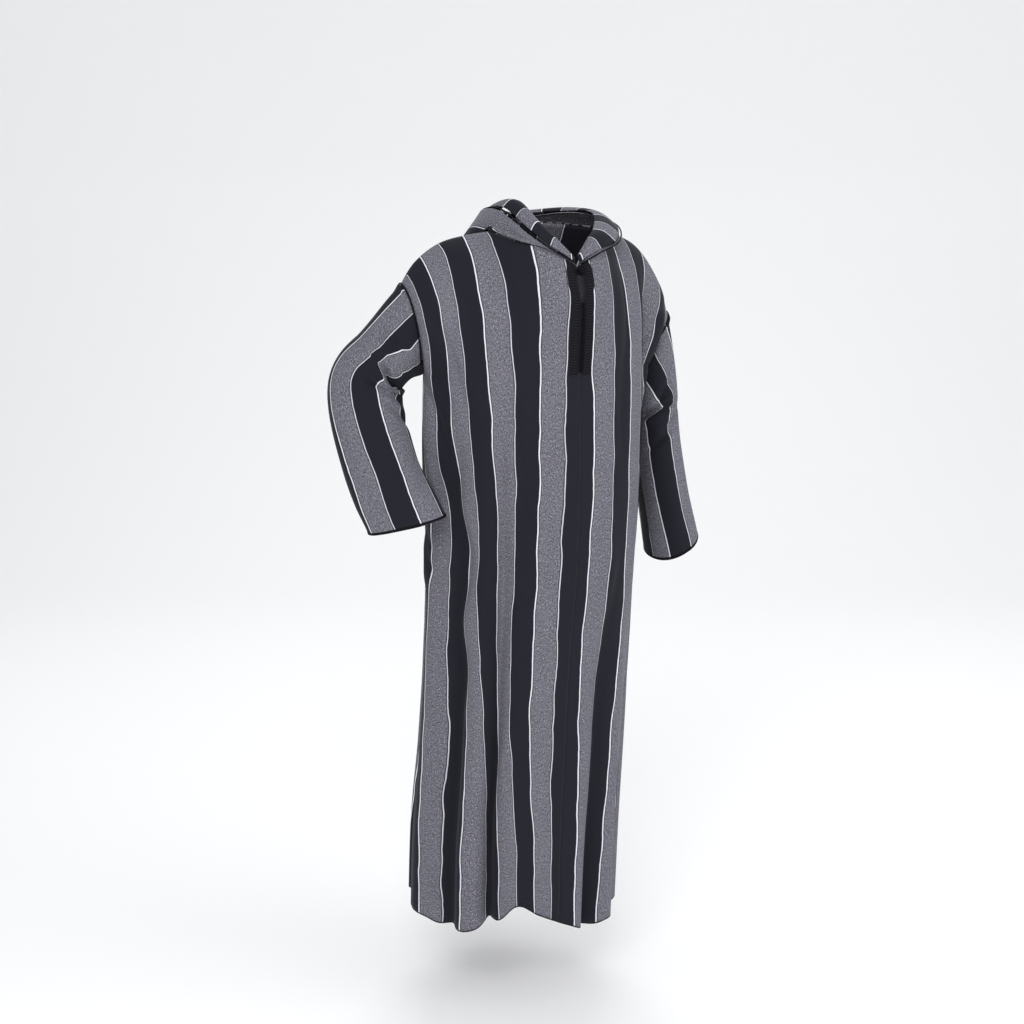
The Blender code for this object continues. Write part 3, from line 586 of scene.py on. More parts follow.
def sleeveGrid(side):
    loop = armhole(side)
    count = len(loop) - 1
    middle = loop[:-1].mean(axis=0)
    section, ahead = sleeveSection(side, sleeveJoin, count)
    leave = unit(unit(section - loop) + unit(loop - middle) * 0.1)
    k = np.linspace(0, 1, fine["upper"] + 1)
    within = np.full_like(k, cut["edgeAtArmhole"] - 0.015)
    inside = [upperPoint(side, within, k, face) for face in ("front", "back")]
    inside = np.concatenate([inside[0], inside[1][::-1][1:]])
    acute = np.clip(0.4 - (leave * unit(loop - inside)).sum(-1, keepdims=True), 0, 1)
    loop = loop + leave * (cut["wall"] + cut["seamGap"]) + nearestOut(loop) * 0.0085 * acute
    span = np.linalg.norm(section - loop, axis=-1, keepdims=True)
    joined = np.linspace(0, 1, fine["join"] + 1)[:-1] ** 1.25
    rows = [bridge(loop, leave * span, section, ahead * span, np.full(count + 1, k)) for k in joined]
    ways = np.concatenate([sleeveJoin * joined, np.linspace(sleeveJoin, 1, fine["sleeve"] + 1)])
    rows += [sleeveSection(side, way, count)[0] for way in ways[len(joined):]]
    return np.array(rows)[:, :-1], ways


def hoodRail(side, way, name):
    p = np.stack([tableAt(hoodRows[side], hoodNames, name + c, way) for c in "XYZ"], -1)
    p[..., 0] *= side
    return p


def hoodSeam(side, way):
    front = topPoint(side, cut["neckHalf"] * np.minimum(way, 1.0), "front")
    back = topPoint(side, cut["neckHalf"] * np.minimum(2.0 - way, 1.0), "back")
    p = np.where((way < 1.0)[..., None], front, back)
    p[..., 0] = side * np.maximum(side * p[..., 0], np.where(way < 1, 0.004, 0.0006))
    return p


def hoodPoint(side, way, b):
    seam, edge = hoodSeam(side, way), hoodRail(side, way, "edge")
    start = seam + unit(unit(edge - seam) + np.array([0.0, 0.0, 1.0])) * 0.0030
    hang = tableAt(hoodRows[side], hoodNames, "hang", way)
    around = pi * way / 2
    outward = np.stack([side * np.sin(around), -np.cos(around), np.zeros_like(way)], -1)
    outward = unit(outward + np.array([0.0, 0.35, 0.0]) * ease(way - 1)[..., None])
    outward[..., 0] *= ease((2.0 - way) / 0.3)
    fromOutside = ease((way - 0.8) / 0.5)[..., None]
    below = unit(unit(seam - edge) * (1 - fromOutside) + (outward - np.array([0, 0, 0.5])) * fromOutside)
    stop = edge + below * 0.0046
    out = tableAt(bagRows, bagNames, "out", b) * hang
    out = out + 0.012 * np.sin(pi * b) * ease((way - 0.9) / 0.4)
    down = tableAt(bagRows, bagNames, "down", b) * hang
    p = start + (stop - start) * b[..., None] + outward * out[..., None]
    p[..., 2] -= down
    return p


# shader groups: masks, colours and heights only
def newGroup(name, inputs, outputs):
    group = bpy.data.node_groups.new(name, "ShaderNodeTree")
    for title, kind, value in inputs:
        socket = group.interface.new_socket(title, in_out="INPUT", socket_type=kind)
        if value is not None:
            socket.default_value = value
    for title, kind in outputs:
        group.interface.new_socket(title, in_out="OUTPUT", socket_type=kind)
    nodes = group.nodes
    return group, nodes.new("NodeGroupInput"), nodes.new("NodeGroupOutput")


number, vector, colour = "NodeSocketFloat", "NodeSocketVector", "NodeSocketColor"


def link(tree, source, target):
    tree.links.new(source, target)


def mathNode(tree, operation, a, b=None):
    node = tree.nodes.new("ShaderNodeMath")
    node.operation = operation
    for socket, value in zip(node.inputs, (a, b)):
        if value is None:
            continue
        if isinstance(value, (int, float)):
            socket.default_value = value
        else:
            link(tree, value, socket)
    return node.outputs[0]


def plus(tree, a, b):
    return mathNode(tree, "ADD", a, b)


def minus(tree, a, b):
    return mathNode(tree, "SUBTRACT", a, b)


def times(tree, a, b):
    return mathNode(tree, "MULTIPLY", a, b)


def mixColour(tree, factor, a, b, blend="MIX"):
    node = tree.nodes.new("ShaderNodeMix")
    node.data_type = "RGBA"
    node.blend_type = blend
    for socket, value in ((node.inputs[0], factor), (node.inputs[6], a), (node.inputs[7], b)):
        if isinstance(value, (int, float, tuple)):
            socket.default_value = value
        else:
            link(tree, value, socket)
    return node.outputs[2]


def separate(tree, source):
    node = tree.nodes.new("ShaderNodeSeparateXYZ")
    link(tree, source, node.inputs[0])
    return node.outputs


def uvPlace(tree, name):
    node = tree.nodes.new("ShaderNodeUVMap")
    node.uv_map = name
    return node.outputs[0]


def scaled(tree, place, factors):
    node = tree.nodes.new("ShaderNodeMapping")
    node.inputs["Scale"].default_value = factors
    link(tree, place, node.inputs["Vector"])
    return node.outputs[0]


def noise(tree, place, scale, detail=2.0, rough=0.5):
    node = tree.nodes.new("ShaderNodeTexNoise")
    node.inputs["Scale"].default_value = scale
    node.inputs["Detail"].default_value = detail
    node.inputs["Roughness"].default_value = rough
    link(tree, place, node.inputs["Vector"])
    return node.outputs["Fac"]


def smooth(tree, value, low, high):
    node = tree.nodes.new("ShaderNodeMapRange")
    node.interpolation_type = "SMOOTHSTEP"
    link(tree, value, node.inputs["Value"])
    for title, edge in (("From Min", low), ("From Max", high)):
        if isinstance(edge, (int, float)):
            node.inputs[title].default_value = edge
        else:
            link(tree, edge, node.inputs[title])
    return node.outputs["Result"]


def stripeGroup():
    group, given, result = newGroup("stripe bands", [
        ("Across", number, 0.0), ("Period", number, stripes["period"]),
        ("Black half width", number, stripes["black"]), ("White line", number, stripes["white"]),
        ("Dark line", number, stripes["dark"]), ("Soft edge", number, stripes["soft"])],
        [("Black", number), ("White", number), ("Dark line", number)])
    g = given.outputs
    half = times(group, g["Period"], 0.5)
    shifted = plus(group, g["Across"], half)
    turned = mathNode(group, "FLOORED_MODULO", shifted, g["Period"])
    signed = minus(group, turned, half)
    away = mathNode(group, "ABSOLUTE", signed)
    # the line on one edge of each black stripe is finer and duller than on the other
    bright = mathNode(group, "GREATER_THAN", signed, 0.0)
    share = plus(group, times(group, bright, 0.28), 0.68)
    line = times(group, g["White line"], share)
    level = plus(group, times(group, bright, 0.25), 0.72)
    whiteEnd = plus(group, g["Black half width"], line)
    darkEnd = plus(group, whiteEnd, g["Dark line"])

    def past(edge):
        return smooth(group, away, minus(group, edge, g["Soft edge"]),
                      plus(group, edge, g["Soft edge"]))
    beyondBlack, beyondWhite, beyondDark = past(g["Black half width"]), past(whiteEnd), past(darkEnd)
    link(group, minus(group, 1.0, beyondBlack), result.inputs["Black"])
    white = times(group, minus(group, beyondBlack, beyondWhite), level)
    link(group, white, result.inputs["White"])
    link(group, minus(group, beyondWhite, beyondDark), result.inputs["Dark line"])
    return group


def melangeGroup():
    group, given, result = newGroup("melange yarn", [
        ("Place", vector, None), ("Fleck size", number, 0.0017), ("Dark", colour, colours["greyDark"]),
        ("Middle", colour, colours["greyMid"]), ("Pale", colour, colours["greyPale"])],
        [("Colour", colour), ("Fleck", number)])
    g = given.outputs
    size = mathNode(group, "DIVIDE", 1.0, g["Fleck size"])
    node = group.nodes.new("ShaderNodeVectorMath")
    node.operation = "SCALE"
    link(group, g["Place"], node.inputs[0])
    link(group, size, node.inputs["Scale"])
    place = node.outputs[0]
    flecks = noise(group, scaled(group, place, (1.0, 0.62, 1.0)), 0.9, 2.5, 0.62)
    twill = noise(group, scaled(group, place, (0.33, 0.28, 0.33)), 0.9, 2.0, 0.6)
    broad = noise(group, scaled(group, place, (0.05, 0.02, 0.05)), 1.0, 2.0, 0.5)
    flecks, twill = times(group, flecks, 0.86), times(group, twill, 0.14)
    mixed = plus(group, flecks, twill)
    dark = smooth(group, mixed, 0.50, 0.35)
    pale = smooth(group, mixed, 0.53, 0.70)
    base = mixColour(group, dark, g["Middle"], g["Dark"])
    base = mixColour(group, pale, base, g["Pale"])
    shade = plus(group, times(group, broad, 0.26), 0.87)
    tint = group.nodes.new("ShaderNodeCombineColor")
    for i in range(3):
        link(group, shade, tint.inputs[i])
    link(group, mixColour(group, 1.0, base, tint.outputs[0], "MULTIPLY"), result.inputs["Colour"])
    link(group, mixed, result.inputs["Fleck"])
    return group


def weaveGroup():
    group, given, result = newGroup("plain weave", [
        ("Place", vector, None), ("Thread", number, 0.0011), ("Depth", number, 0.00012),
        ("Nap", number, 0.35), ("Strength", number, 0.6)], [("Normal", vector), ("Height", number)])
    g = given.outputs
    turn = mathNode(group, "DIVIDE", 2 * pi, g["Thread"])
    wobble = noise(group, g["Place"], 160.0, 2.0)
    wobble = times(group, wobble, 2.4)
    threads = [mathNode(group, "SINE", plus(group, times(group, way, turn), wobble))
               for way in separate(group, g["Place"])[:2]]
    woven = times(group, *threads)
    fuzz = noise(group, g["Place"], 950.0, 3.0, 0.7)
    slub = noise(group, scaled(group, g["Place"], (1.0, 0.12, 1.0)), 420.0, 2.0, 0.6)
    height = plus(group, times(group, woven, 0.30),
                      plus(group, times(group, fuzz, g["Nap"]),
                               times(group, slub, 0.5)))
    bump = group.nodes.new("ShaderNodeBump")
    link(group, height, bump.inputs["Height"])
    link(group, g["Depth"], bump.inputs["Distance"])
    link(group, g["Strength"], bump.inputs["Strength"])
    link(group, bump.outputs[0], result.inputs["Normal"])
    link(group, height, result.inputs["Height"])
    return group


groups = {"stripes": stripeGroup(), "melange": melangeGroup(), "weave": weaveGroup()}


def useGroup(tree, name, **values):
    node = tree.nodes.new("ShaderNodeGroup")
    node.node_tree = groups[name]
    for title, value in values.items():
        socket = node.inputs[title.replace("_", " ")]
        if isinstance(value, (int, float, tuple)):
            socket.default_value = value
        else:
            link(tree, value, socket)
    return node


# overcast black edges of the hem and the pocket slit, and the hem's line of stitches
edging = {"hem": 0.0024, "slit": 0.0042, "soft": 0.0010, "sewnAt": 0.014, "stitch": 0.0042,
          "dipHalf": 0.0016, "dip": 0.0008}


# yarn drift shifts a stripe's edge thread by thread
yarnDrift = {"scale": 42.0, "reach": 0.0022}
clothLook = {"Roughness": 0.88, "Specular IOR Level": 0.14, "Sheen Weight": 0.07, "Sheen Roughness": 0.45,
             "Sheen Tint": (0.8, 0.82, 0.9, 1)}
trimLook = {"Roughness": 0.66, "Specular IOR Level": 0.10, "Sheen Weight": 0.0, "Sheen Roughness": 0.4}


def newMaterial(name, look):
    # the cloth map holds metres across and along the cloth
    material = bpy.data.materials.new(name)
    material.use_nodes = True
    tree = material.node_tree
    shader = tree.nodes["Principled BSDF"]
    for title, value in look.items():
        shader.inputs[title].default_value = value
    return material, tree, shader, uvPlace(tree, "cloth")


def clothMaterial(name, offset=0.0, bound=False):
    material, tree, shader, onCloth = newMaterial(name, clothLook)
    width = separate(tree, onCloth)[0]
    drift = minus(tree, noise(tree, onCloth, yarnDrift["scale"]), 0.5)
    drift = times(tree, drift, yarnDrift["reach"])
    across = plus(tree, plus(tree, width, drift), offset)
    bands = useGroup(tree, "stripes", Across=across)
    yarn = useGroup(tree, "melange", Place=onCloth)
    weave = useGroup(tree, "weave", Place=onCloth)
    blackTone = mixColour(tree, yarn.outputs["Fleck"], colours["black"], colours["blackHigh"])
    base = mixColour(tree, bands.outputs["Black"], yarn.outputs["Colour"], blackTone)
    base = mixColour(tree, bands.outputs["White"], base, colours["white"])
    base = mixColour(tree, bands.outputs["Dark line"], base, colours["greyDark"])
    normal = weave.outputs["Normal"]
    if bound:
        toHem, toSlit = separate(tree, uvPlace(tree, "edges"))[:2]
        hemEdge = smooth(tree, toHem, edging["hem"] + edging["soft"], edging["hem"])
        slitEdge = smooth(tree, toSlit, edging["slit"] + edging["soft"], edging["slit"])
        base = mixColour(tree, mathNode(tree, "MAXIMUM", hemEdge, slitEdge), base, colours["trim"])
        sewn = mathNode(tree, "ABSOLUTE", minus(tree, toHem, edging["sewnAt"]))
        dash = mathNode(tree, "SINE", times(tree, width, 2 * pi / edging["stitch"]))
        dip = times(tree, smooth(tree, sewn, edging["dipHalf"], 0.0),
                       plus(tree, times(tree, dash, 0.35), 0.65))
        bump = tree.nodes.new("ShaderNodeBump")
        bump.inputs["Distance"].default_value = edging["dip"]
        bump.invert = True
        link(tree, dip, bump.inputs["Height"])
        link(tree, normal, bump.inputs["Normal"])
        normal = bump.outputs[0]
    link(tree, base, shader.inputs["Base Color"])
    link(tree, normal, shader.inputs["Normal"])
    return material


def trimMaterial(name, pitch, depth, chain=None):
    # black needle-worked cord and braid
    material, tree, shader, onCloth = newMaterial(name, trimLook)
    weave = useGroup(tree, "weave", Place=onCloth, Thread=pitch, Depth=depth, Nap=0.2, Strength=0.9)
    # painted highlight and painted shade: the weave's raised threads take the lighter thread colour, its gaps
    # the trim's own black
    paintedHighlightTone = mixColour(tree, weave.outputs["Height"], colours["trim"], colours["threadHighlight"])
    if chain:
        # slanting chain stitches, turned about from rank to rank, coloured lighter along each stitch as a
        # painted highlight
        way = separate(tree, onCloth)
        slant = mathNode(tree, "PINGPONG", mathNode(tree, "DIVIDE", way[0], chain["rank"]), 1.0)
        turn = plus(tree, mathNode(tree, "DIVIDE", way[1], chain["pitch"]),
                        times(tree, slant, 0.9))
        stitch = mathNode(tree, "ABSOLUTE", mathNode(tree, "SINE", times(tree, turn, pi)))
        paintedHighlightTone = mixColour(tree, smooth(tree, stitch, 0.55, 0.98), paintedHighlightTone, colours["chain"])
    link(tree, paintedHighlightTone, shader.inputs["Base Color"])
    link(tree, weave.outputs["Normal"], shader.inputs["Normal"])
    return material


def makeMesh(name, verts, faces, faceMap, material, wall=None, edgeMap=None):
    mesh = bpy.data.meshes.new(name)
    mesh.from_pydata([tuple(map(float, v)) for v in verts], [], faces)
    mesh.update()
    cloth = mesh.uv_layers.new(name="cloth")
    cloth.data.foreach_set("uv", np.asarray(faceMap, np.float32).reshape(-1))
    if edgeMap is not None:
        edges = mesh.uv_layers.new(name="edges")
        edges.data.foreach_set("uv", np.asarray(edgeMap, np.float32).reshape(-1))
    mesh.polygons.foreach_set("use_smooth", [True] * len(mesh.polygons))
    thing = bpy.data.objects.new(name, mesh)
    bpy.context.scene.collection.objects.link(thing)
    mesh.materials.append(material)
    if wall:
        shell = thing.modifiers.new("cloth", "SOLIDIFY")
        shell.thickness = wall
        shell.offset = 0.0
    return thing


def gridMesh(name, points, across, down, material, wall=None, wrap=False, flip=False, beyond=None):
    # across has one more column than points where the grid closes on itself, and beyond takes
    # its place past the middle column
    rows, cols = points.shape[:2]
    faces, faceMap = [], []
    for r in range(rows - 1):
        for c in range(cols if wrap else cols - 1):
            d = (c + 1) % cols
            width = across if beyond is None or c < cols // 2 else beyond
            face = [r * cols + c, (r + 1) * cols + c, (r + 1) * cols + d, r * cols + d]
            spots = [(width[p], down[p]) for p in ((r, c), (r + 1, c), (r + 1, c + 1), (r, c + 1))]
            faces.append(tuple(face[::-1] if flip else face))
            faceMap += spots[::-1] if flip else spots
    return makeMesh(name, points.reshape(-1, 3), faces, faceMap, material, wall)


def tubeMesh(name, path, radius, material, sides, twist, relief):
    # a cord; relief and twist lay its two strands round it
    count = len(path)
    ahead = unit(np.gradient(path, axis=0))
    guide = np.array([0.31, 0.17, 0.94])
    length = alongPath(path)
    verts = []
    for i in range(count):
        guide = unit(guide - ahead[i] * guide.dot(ahead[i]))
        third = np.cross(ahead[i], guide)
        for s in range(sides):
            a = 2 * pi * s / sides
            r = radius * (1 + relief * (abs(cos(a + twist * length[i])) - 0.7))
            verts.append(path[i] + r * (guide * cos(a) + third * sin(a)))
    faces, faceMap = [], []
    for i in range(count - 1):
        for s in range(sides):
            t = (s + 1) % sides
            faces.append((i * sides + s, i * sides + t, (i + 1) * sides + t, (i + 1) * sides + s))
            a, b = s * 2 * pi * radius / sides, (s + 1) * 2 * pi * radius / sides
            faceMap += [(a, length[i]), (b, length[i]), (b, length[i + 1]), (a, length[i + 1])]
    for ring, order in ((0, -1), (count - 1, 1)):
        faces.append(tuple([ring * sides + s for s in range(sides)][::order]))
        faceMap += [(0.0, 0.0)] * sides
    return makeMesh(name, verts, faces, faceMap, material)


def resample(path, step):
    length = alongPath(path)
    at = np.linspace(0, length[-1], max(int(length[-1] / step), 8) + 1)
    return np.stack([np.interp(at, length, path[:, i]) for i in range(3)], -1)


def place(piece, nodes, slotName):
    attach(piece, "root")
    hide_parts(*nodes)
    return piece


# front braid; its material repeats the chain stitches of its mesh as painted highlights
braid = {"flat": (0.019, 0.20), "rows": 320, "columns": 28, "from": 0.012, "to": 0.998, "lift": 0.0004,
         "relief": 0.0015, "pitch": 0.0052, "rank": 0.0063}
materials = {
    "body": clothMaterial("striped_body", bound=True),
    "sleeve": clothMaterial("striped_sleeve"),
    "hood": clothMaterial("striped_hood", 0.029),
    "facing": clothMaterial("striped_facing", 0.016),
    "piping": trimMaterial("black_piping", 0.0009, 0.0002),
    "braid": trimMaterial("black_braid", 0.0024, 0.0005, braid),
    "cord": trimMaterial("black_cord", 0.0011, 0.0003),
}

# the piping of armholes and hood edge
piping = {"step": 0.0022, "sides": 10, "twist": 700.0, "relief": 0.25}


def makePiping(name, path, radius):
    cord = tubeMesh(name, resample(path, piping["step"]), radius, materials["piping"], piping["sides"],
                    piping["twist"], piping["relief"])
    place(cord, [name], "black_piping")


heights = np.concatenate([np.linspace(0, cut["underarm"], fine["upper"] + 1)[:-1],
                          np.linspace(cut["underarm"], cut["hem"], fine["lower"] + 1)])
bodyPiece = {"flat": (0.440, 2.80), "area": 2 * (0.333 * 0.31 + 0.5 * (0.333 + 0.440) * 1.11) - 0.012,
             "toSeam": 1.15}


def makeBody(side):
    front, back = bodies[(side, "front")], bodies[(side, "back")]
    rows, cols = front[0].shape[:2]
    verts = list(front[0].reshape(-1, 3))
    index = np.arange(rows * cols).reshape(rows, cols)
    behind = np.zeros((rows, cols), int)
    for r in range(rows):
        for c in range(cols):
            if r == 0 and c >= neckColumn:
                behind[r, c] = index[0, c]
                verts[index[0, c]] = (front[0][0, c] + back[0][0, c]) / 2
            else:
                behind[r, c] = len(verts)
                verts.append(back[0][r, c])
    # distance from the bound edge of the pocket slit, held far off on the half with no pocket
    slitMiddle = (cut["pocketTop"] + cut["pocketEnd"]) / 2
    slitHalf = (cut["pocketEnd"] - cut["pocketTop"]) / 2
    toSlit = np.clip(np.abs(heights - slitMiddle) - slitHalf, 0, 1)
    nearSlit = np.hypot(toSlit[:, None], cut["edgeAtArmhole"] * bodyPiece["toSeam"] * (1 - shares)[None])
    if side == left:
        nearSlit = np.ones_like(nearSlit)
    faces, faceMap, edgeMap = [], [], []
    for grid, across, down, turned in ((index, front[1], front[2], side == right),
                                       (behind, back[1], -back[2], side == left)):
        fromHem = np.abs(down[-1][None] - down)
        for r in range(rows - 1):
            for c in range(cols - 1):
                corners = [(r, c), (r + 1, c), (r + 1, c + 1), (r, c + 1)]
                corners = corners[::-1] if turned else corners
                faces.append(tuple(int(grid[p]) for p in corners))
                faceMap += [(side * across[p], down[p]) for p in corners]
                edgeMap += [(fromHem[p], nearSlit[p]) for p in corners]
    piece = makeMesh("body_" + words[side], verts, faces, faceMap, materials["body"], cut["wall"], edgeMap)
    place(piece, ["body_" + words[side]], "robe_cloth")


for side in (right, left):
    makeBody(side)
print("body made")

sleevePiece = {"flat": (0.46, 0.46), "area": 0.185, "length": 0.5, "radius": 0.070, "clear": 0.0042,
               "pipingRadius": 0.0013, "pipingOut": 0.0026, "pipingHidden": {right: 6, left: 9},
               "bindingWidth": 0.005,
               "stripeShift": {right: 0.005, left: 0.076}}


def makeSleeve(side):
    points, ways = sleeveGrid(side)
    rows, cols = points.shape[:2]
    closed = np.concatenate([points, points[:, :1]], axis=1)
    girth = lengths(closed.swapaxes(0, 1)).T
    degrees = np.linspace(0, 360, cols + 1)[:-1]
    turned = np.roll(points, -1, axis=1) - np.roll(points, 1, axis=1)
    out = turnedTo(unit(np.cross(np.gradient(points, axis=0), turned)),
                   points - points.mean(axis=1, keepdims=True))
    # creases and laps are laid out flat: metres round from degrees, metres down from the way
    reach, length = sleevePiece["radius"] * pi / 180, sleevePiece["length"]
    wayGrid, degreeGrid = np.broadcast_to(ways[:, None], (rows, cols)), np.broadcast_to(degrees, (rows, cols))
    push = np.zeros((rows, cols))
    for shift in (-360, 0):
        table = [(a0 * reach, w0 * length, a1 * reach, w1 * length, wide, deep)
                 for w0, a0, w1, a1, wide, deep in sleeveCreases[side]]
        push += creasePush((degreeGrid + shift) * reach, wayGrid * length, table)
    hidden = np.zeros((rows, cols))
    for w0, a0, w1, a1, deep, lost in sleeveLaps[side]:
        lapPush, lapHidden = lapFold(degreeGrid * reach, wayGrid * length, a0 * reach, w0 * length,
                                     a1 * reach, w1 * length, deep / 1000, lost / 1000)
        push += lapPush
        hidden += lapHidden
    hidden = np.concatenate([hidden, hidden[:, :1]], axis=1)
    calm = ease(wayGrid / 0.10) * ease((1.02 - wayGrid) / 0.06)
    points = points + out * (push * calm)[..., None]
    points[1:] = keepClear(points[1:], sleevePiece["clear"])
    down = lengths(points)
    down = np.concatenate([down, down[:, :1]], axis=1)
    # widths run from the outer line, forward positive, and meet at the underarm
    frontWidth = girth + sleevePiece["stripeShift"][side] + hidden
    piece = gridMesh("sleeve_" + words[side], points, frontWidth, down, materials["sleeve"], cut["wall"],
                     wrap=True, flip=side == right, beyond=frontWidth - girth[:, -1:])
    place(piece, ["sleeve_" + words[side]], "robe_cloth")
    # piping on the armhole seam, hidden at the underarm point
    loop, centre = points[0], points[0].mean(axis=0)
    bodyOut = nearestOut(loop)
    sleeveOut = unit(np.cross(np.roll(loop, -1, axis=0) - np.roll(loop, 1, axis=0), points[1] - loop))
    sleeveOut = turnedTo(sleeveOut, loop - centre)
    outward = unit(sleeveOut + bodyOut)
    valley = np.clip((outward * sleeveOut).sum(-1, keepdims=True), 0.3, 1.0)
    path = loop + outward * (cut["wall"] / 2 + sleevePiece["pipingOut"]) / valley
    skipped = sleevePiece["pipingHidden"][side]
    path = np.roll(path, -(fine["upper"] + skipped), axis=0)[:-(2 * skipped - 1)]
    makePiping("armhole_piping_" + words[side], path, sleevePiece["pipingRadius"])
    # narrow binding round the cuff
    tail, before = points[-1], points[-3]
    up = unit(before - tail)
    outward = tail - tail.mean(axis=0)
    outward = unit(outward - up * (outward * up).sum(-1, keepdims=True))
    wide = sleevePiece["bindingWidth"]
    profile = ((0.0012, wide), (0.0016, wide * 0.75), (0.0016, wide * 0.35), (0.0011, 0.0004), (0.0, -0.0006),
               (-0.0011, 0.0004), (-0.0014, wide * 0.4), (-0.0010, wide * 0.9))
    band = np.array([tail + outward * o + up * u for o, u in profile])
    bandDown = np.broadcast_to((np.arange(len(profile)) * 0.0016)[:, None], (len(profile), cols + 1))
    bandRound = np.broadcast_to(girth[-1], (len(profile), cols + 1))
    binding = gridMesh("cuff_binding_" + words[side], band, bandRound, bandDown, materials["piping"],
                       wrap=True, flip=side == right)
    place(binding, ["cuff_binding_" + words[side]], "black_piping")


for side in (right, left):
    makeSleeve(side)
print("sleeves made")

hoodPiece = {"flat": (0.46, 0.36), "area": 0.105, "facingFlat": (0.036, 0.36), "pipingRadius": 0.0014,
             "pipingGap": 0.0022, "middleGap": 0.0012, "halfColumns": 37, "clear": 0.0075,
             "liesFrom": {right: 0.55, left: 0.25}, "facingRows": 13, "facingOff": 0.0060,
             "facingRise": 0.007}


def makeHood(side):
    neckWidths = np.linspace(0, 1, hoodPiece["halfColumns"])
    ways = np.concatenate([neckWidths, 2 - neckWidths[::-1][1:]])
    ways[0] = 0.002
    bs = np.linspace(0, 1, fine["hoodRows"] + 1) ** 1.15
    points = np.array([hoodPoint(side, ways, np.full_like(ways, b)) for b in bs])
    lying = ease((ways - hoodPiece["liesFrom"][side]) / 0.25)[:, None]
    moved = keepClear(points[1:-1], hoodPiece["clear"])
    points[1:-1] += (moved - points[1:-1]) * lying
    keepSide(points, side, hoodPiece["middleGap"])
    down = lengths(points)
    fromEdge = down[-1][None] - down
    alongWay = np.broadcast_to(alongPath(points[-1]), fromEdge.shape)
    piece = gridMesh("hood_" + words[side], points, fromEdge, alongWay, materials["hood"], cut["wall"],
                     flip=side == left)
    place(piece, ["hood_" + words[side]], "robe_cloth")
    edge, lip = hoodRail(side, ways, "edge"), hoodRail(side, ways, "inner")
    lean = unit(lip - edge)
    off, crown = lean * hoodPiece["facingOff"], np.array([0, 0, hoodPiece["facingRise"]])
    band = np.array([edge + off + (lip - edge) * k + crown * np.sin(pi * k)
                     for k in np.linspace(0, 1, hoodPiece["facingRows"])])
    keepSide(band, side, hoodPiece["middleGap"])
    bandDown = lengths(band)
    bandAlong = np.broadcast_to(alongPath(band[0]), bandDown.shape)
    facing = gridMesh("hood_facing_" + words[side], band, bandAlong, bandDown, materials["facing"],
                      cut["wall"], flip=side == left)
    place(facing, ["hood_facing_" + words[side]], "robe_cloth")
    cord = hoodRail(side, ways, "edge")
    keepSide(cord, side, hoodPiece["pipingGap"])
    makePiping("hood_piping_" + words[side], cord, hoodPiece["pipingRadius"])


for side in (right, left):
    makeHood(side)
print("hood made")

# front fastening: flat braid on both edges, a knot button in its loop and a row of small knots
knots = {"pitch": 0.0062, "radius": 0.0031, "from": 0.118, "to": 0.246, "lift": 0.0004, "relief": 0.16}
knotButton = {"radius": 0.0062, "out": 0.0145, "down": 0.006}
buttonLoop = {"radius": 0.0078, "cord": 0.0012, "out": 0.0010, "ends": (0.15 * pi, 1.85 * pi)}


def makeBraid(side):
    ks = np.linspace(braid["from"], braid["to"], braid["rows"])
    t = np.linspace(0, 1, braid["columns"])
    rows = []
    for k in ks:
        drop = -upperPoint(side, np.array([0.0]), np.array([k]), "front")[0, 2]
        first = openBy("front", drop)
        lo = first + cut["braidInner"] / cut["edgeAtArmhole"] * (cut["edgeAtArmhole"] - first)
        width = lo + t * (cut["braidOuter"] - cut["braidInner"])
        rows.append(upperPoint(side, width, np.full_like(width, k), "front"))
    rows = np.array(rows)
    down = lengths(rows)
    out = gridNormals(rows)
    out *= -np.sign(out[..., 1:2])
    across = t * (cut["braidOuter"] - cut["braidInner"])
    # chain stitches lie slanting, turned about in each of three ranks
    rank = np.floor(t * 2.999)
    inRank = t * 3 - rank
    slant = np.where(rank % 2 == 0, inRank, 1 - inRank)
    chain = np.abs(np.sin(pi * (down / braid["pitch"] + slant[None] * 0.9)))
    chain = chain * np.sin(pi * inRank)[None] ** 0.5
    lift = cut["wall"] / 2 + cut["seamGap"] + braid["lift"] + braid["relief"] * chain
    lift = lift * np.where((t == 0) | (t == 1), 0.5, 1.0)[None]
    points = rows + out * lift[..., None]
    piece = gridMesh("placket_braid_" + words[side], points, np.broadcast_to(across, down.shape), down,
                     materials["braid"], flip=side == right)
    place(piece, ["placket_braid_" + words[side]], "black_braid")


for side in (right, left):
    makeBraid(side)


def knotMesh(name, spots, radius, turns, rings):
    # worked knots: round, with slanting strands crossing over them
    verts, faces, faceMap = [], [], []
    for spot in spots:
        first = len(verts)
        for r in range(rings + 1):
            polar = pi * r / rings
            for t in range(turns):
                a = 2 * pi * t / turns
                strands = abs(sin(2.5 * a + 3.0 * polar)) * abs(sin(2.5 * a - 3.0 * polar))
                size = radius * (1 - knots["relief"] + knots["relief"] * strands * 1.6)
                ray = np.array([sin(polar) * cos(a), sin(polar) * sin(a), cos(polar)])
                verts.append(np.asarray(spot) + size * ray)
        for r in range(rings):
            for t in range(turns):
                n = (t + 1) % turns
                faces.append((first + r * turns + t, first + (r + 1) * turns + t,
                              first + (r + 1) * turns + n, first + r * turns + n))
                a, b = t * 2 * pi * radius / turns, (t + 1) * 2 * pi * radius / turns
                c, d = r * pi * radius / rings, (r + 1) * pi * radius / rings
                faceMap += [(a, c), (a, d), (b, d), (b, c)]
    return makeMesh(name, verts, faces, faceMap, materials["cord"])


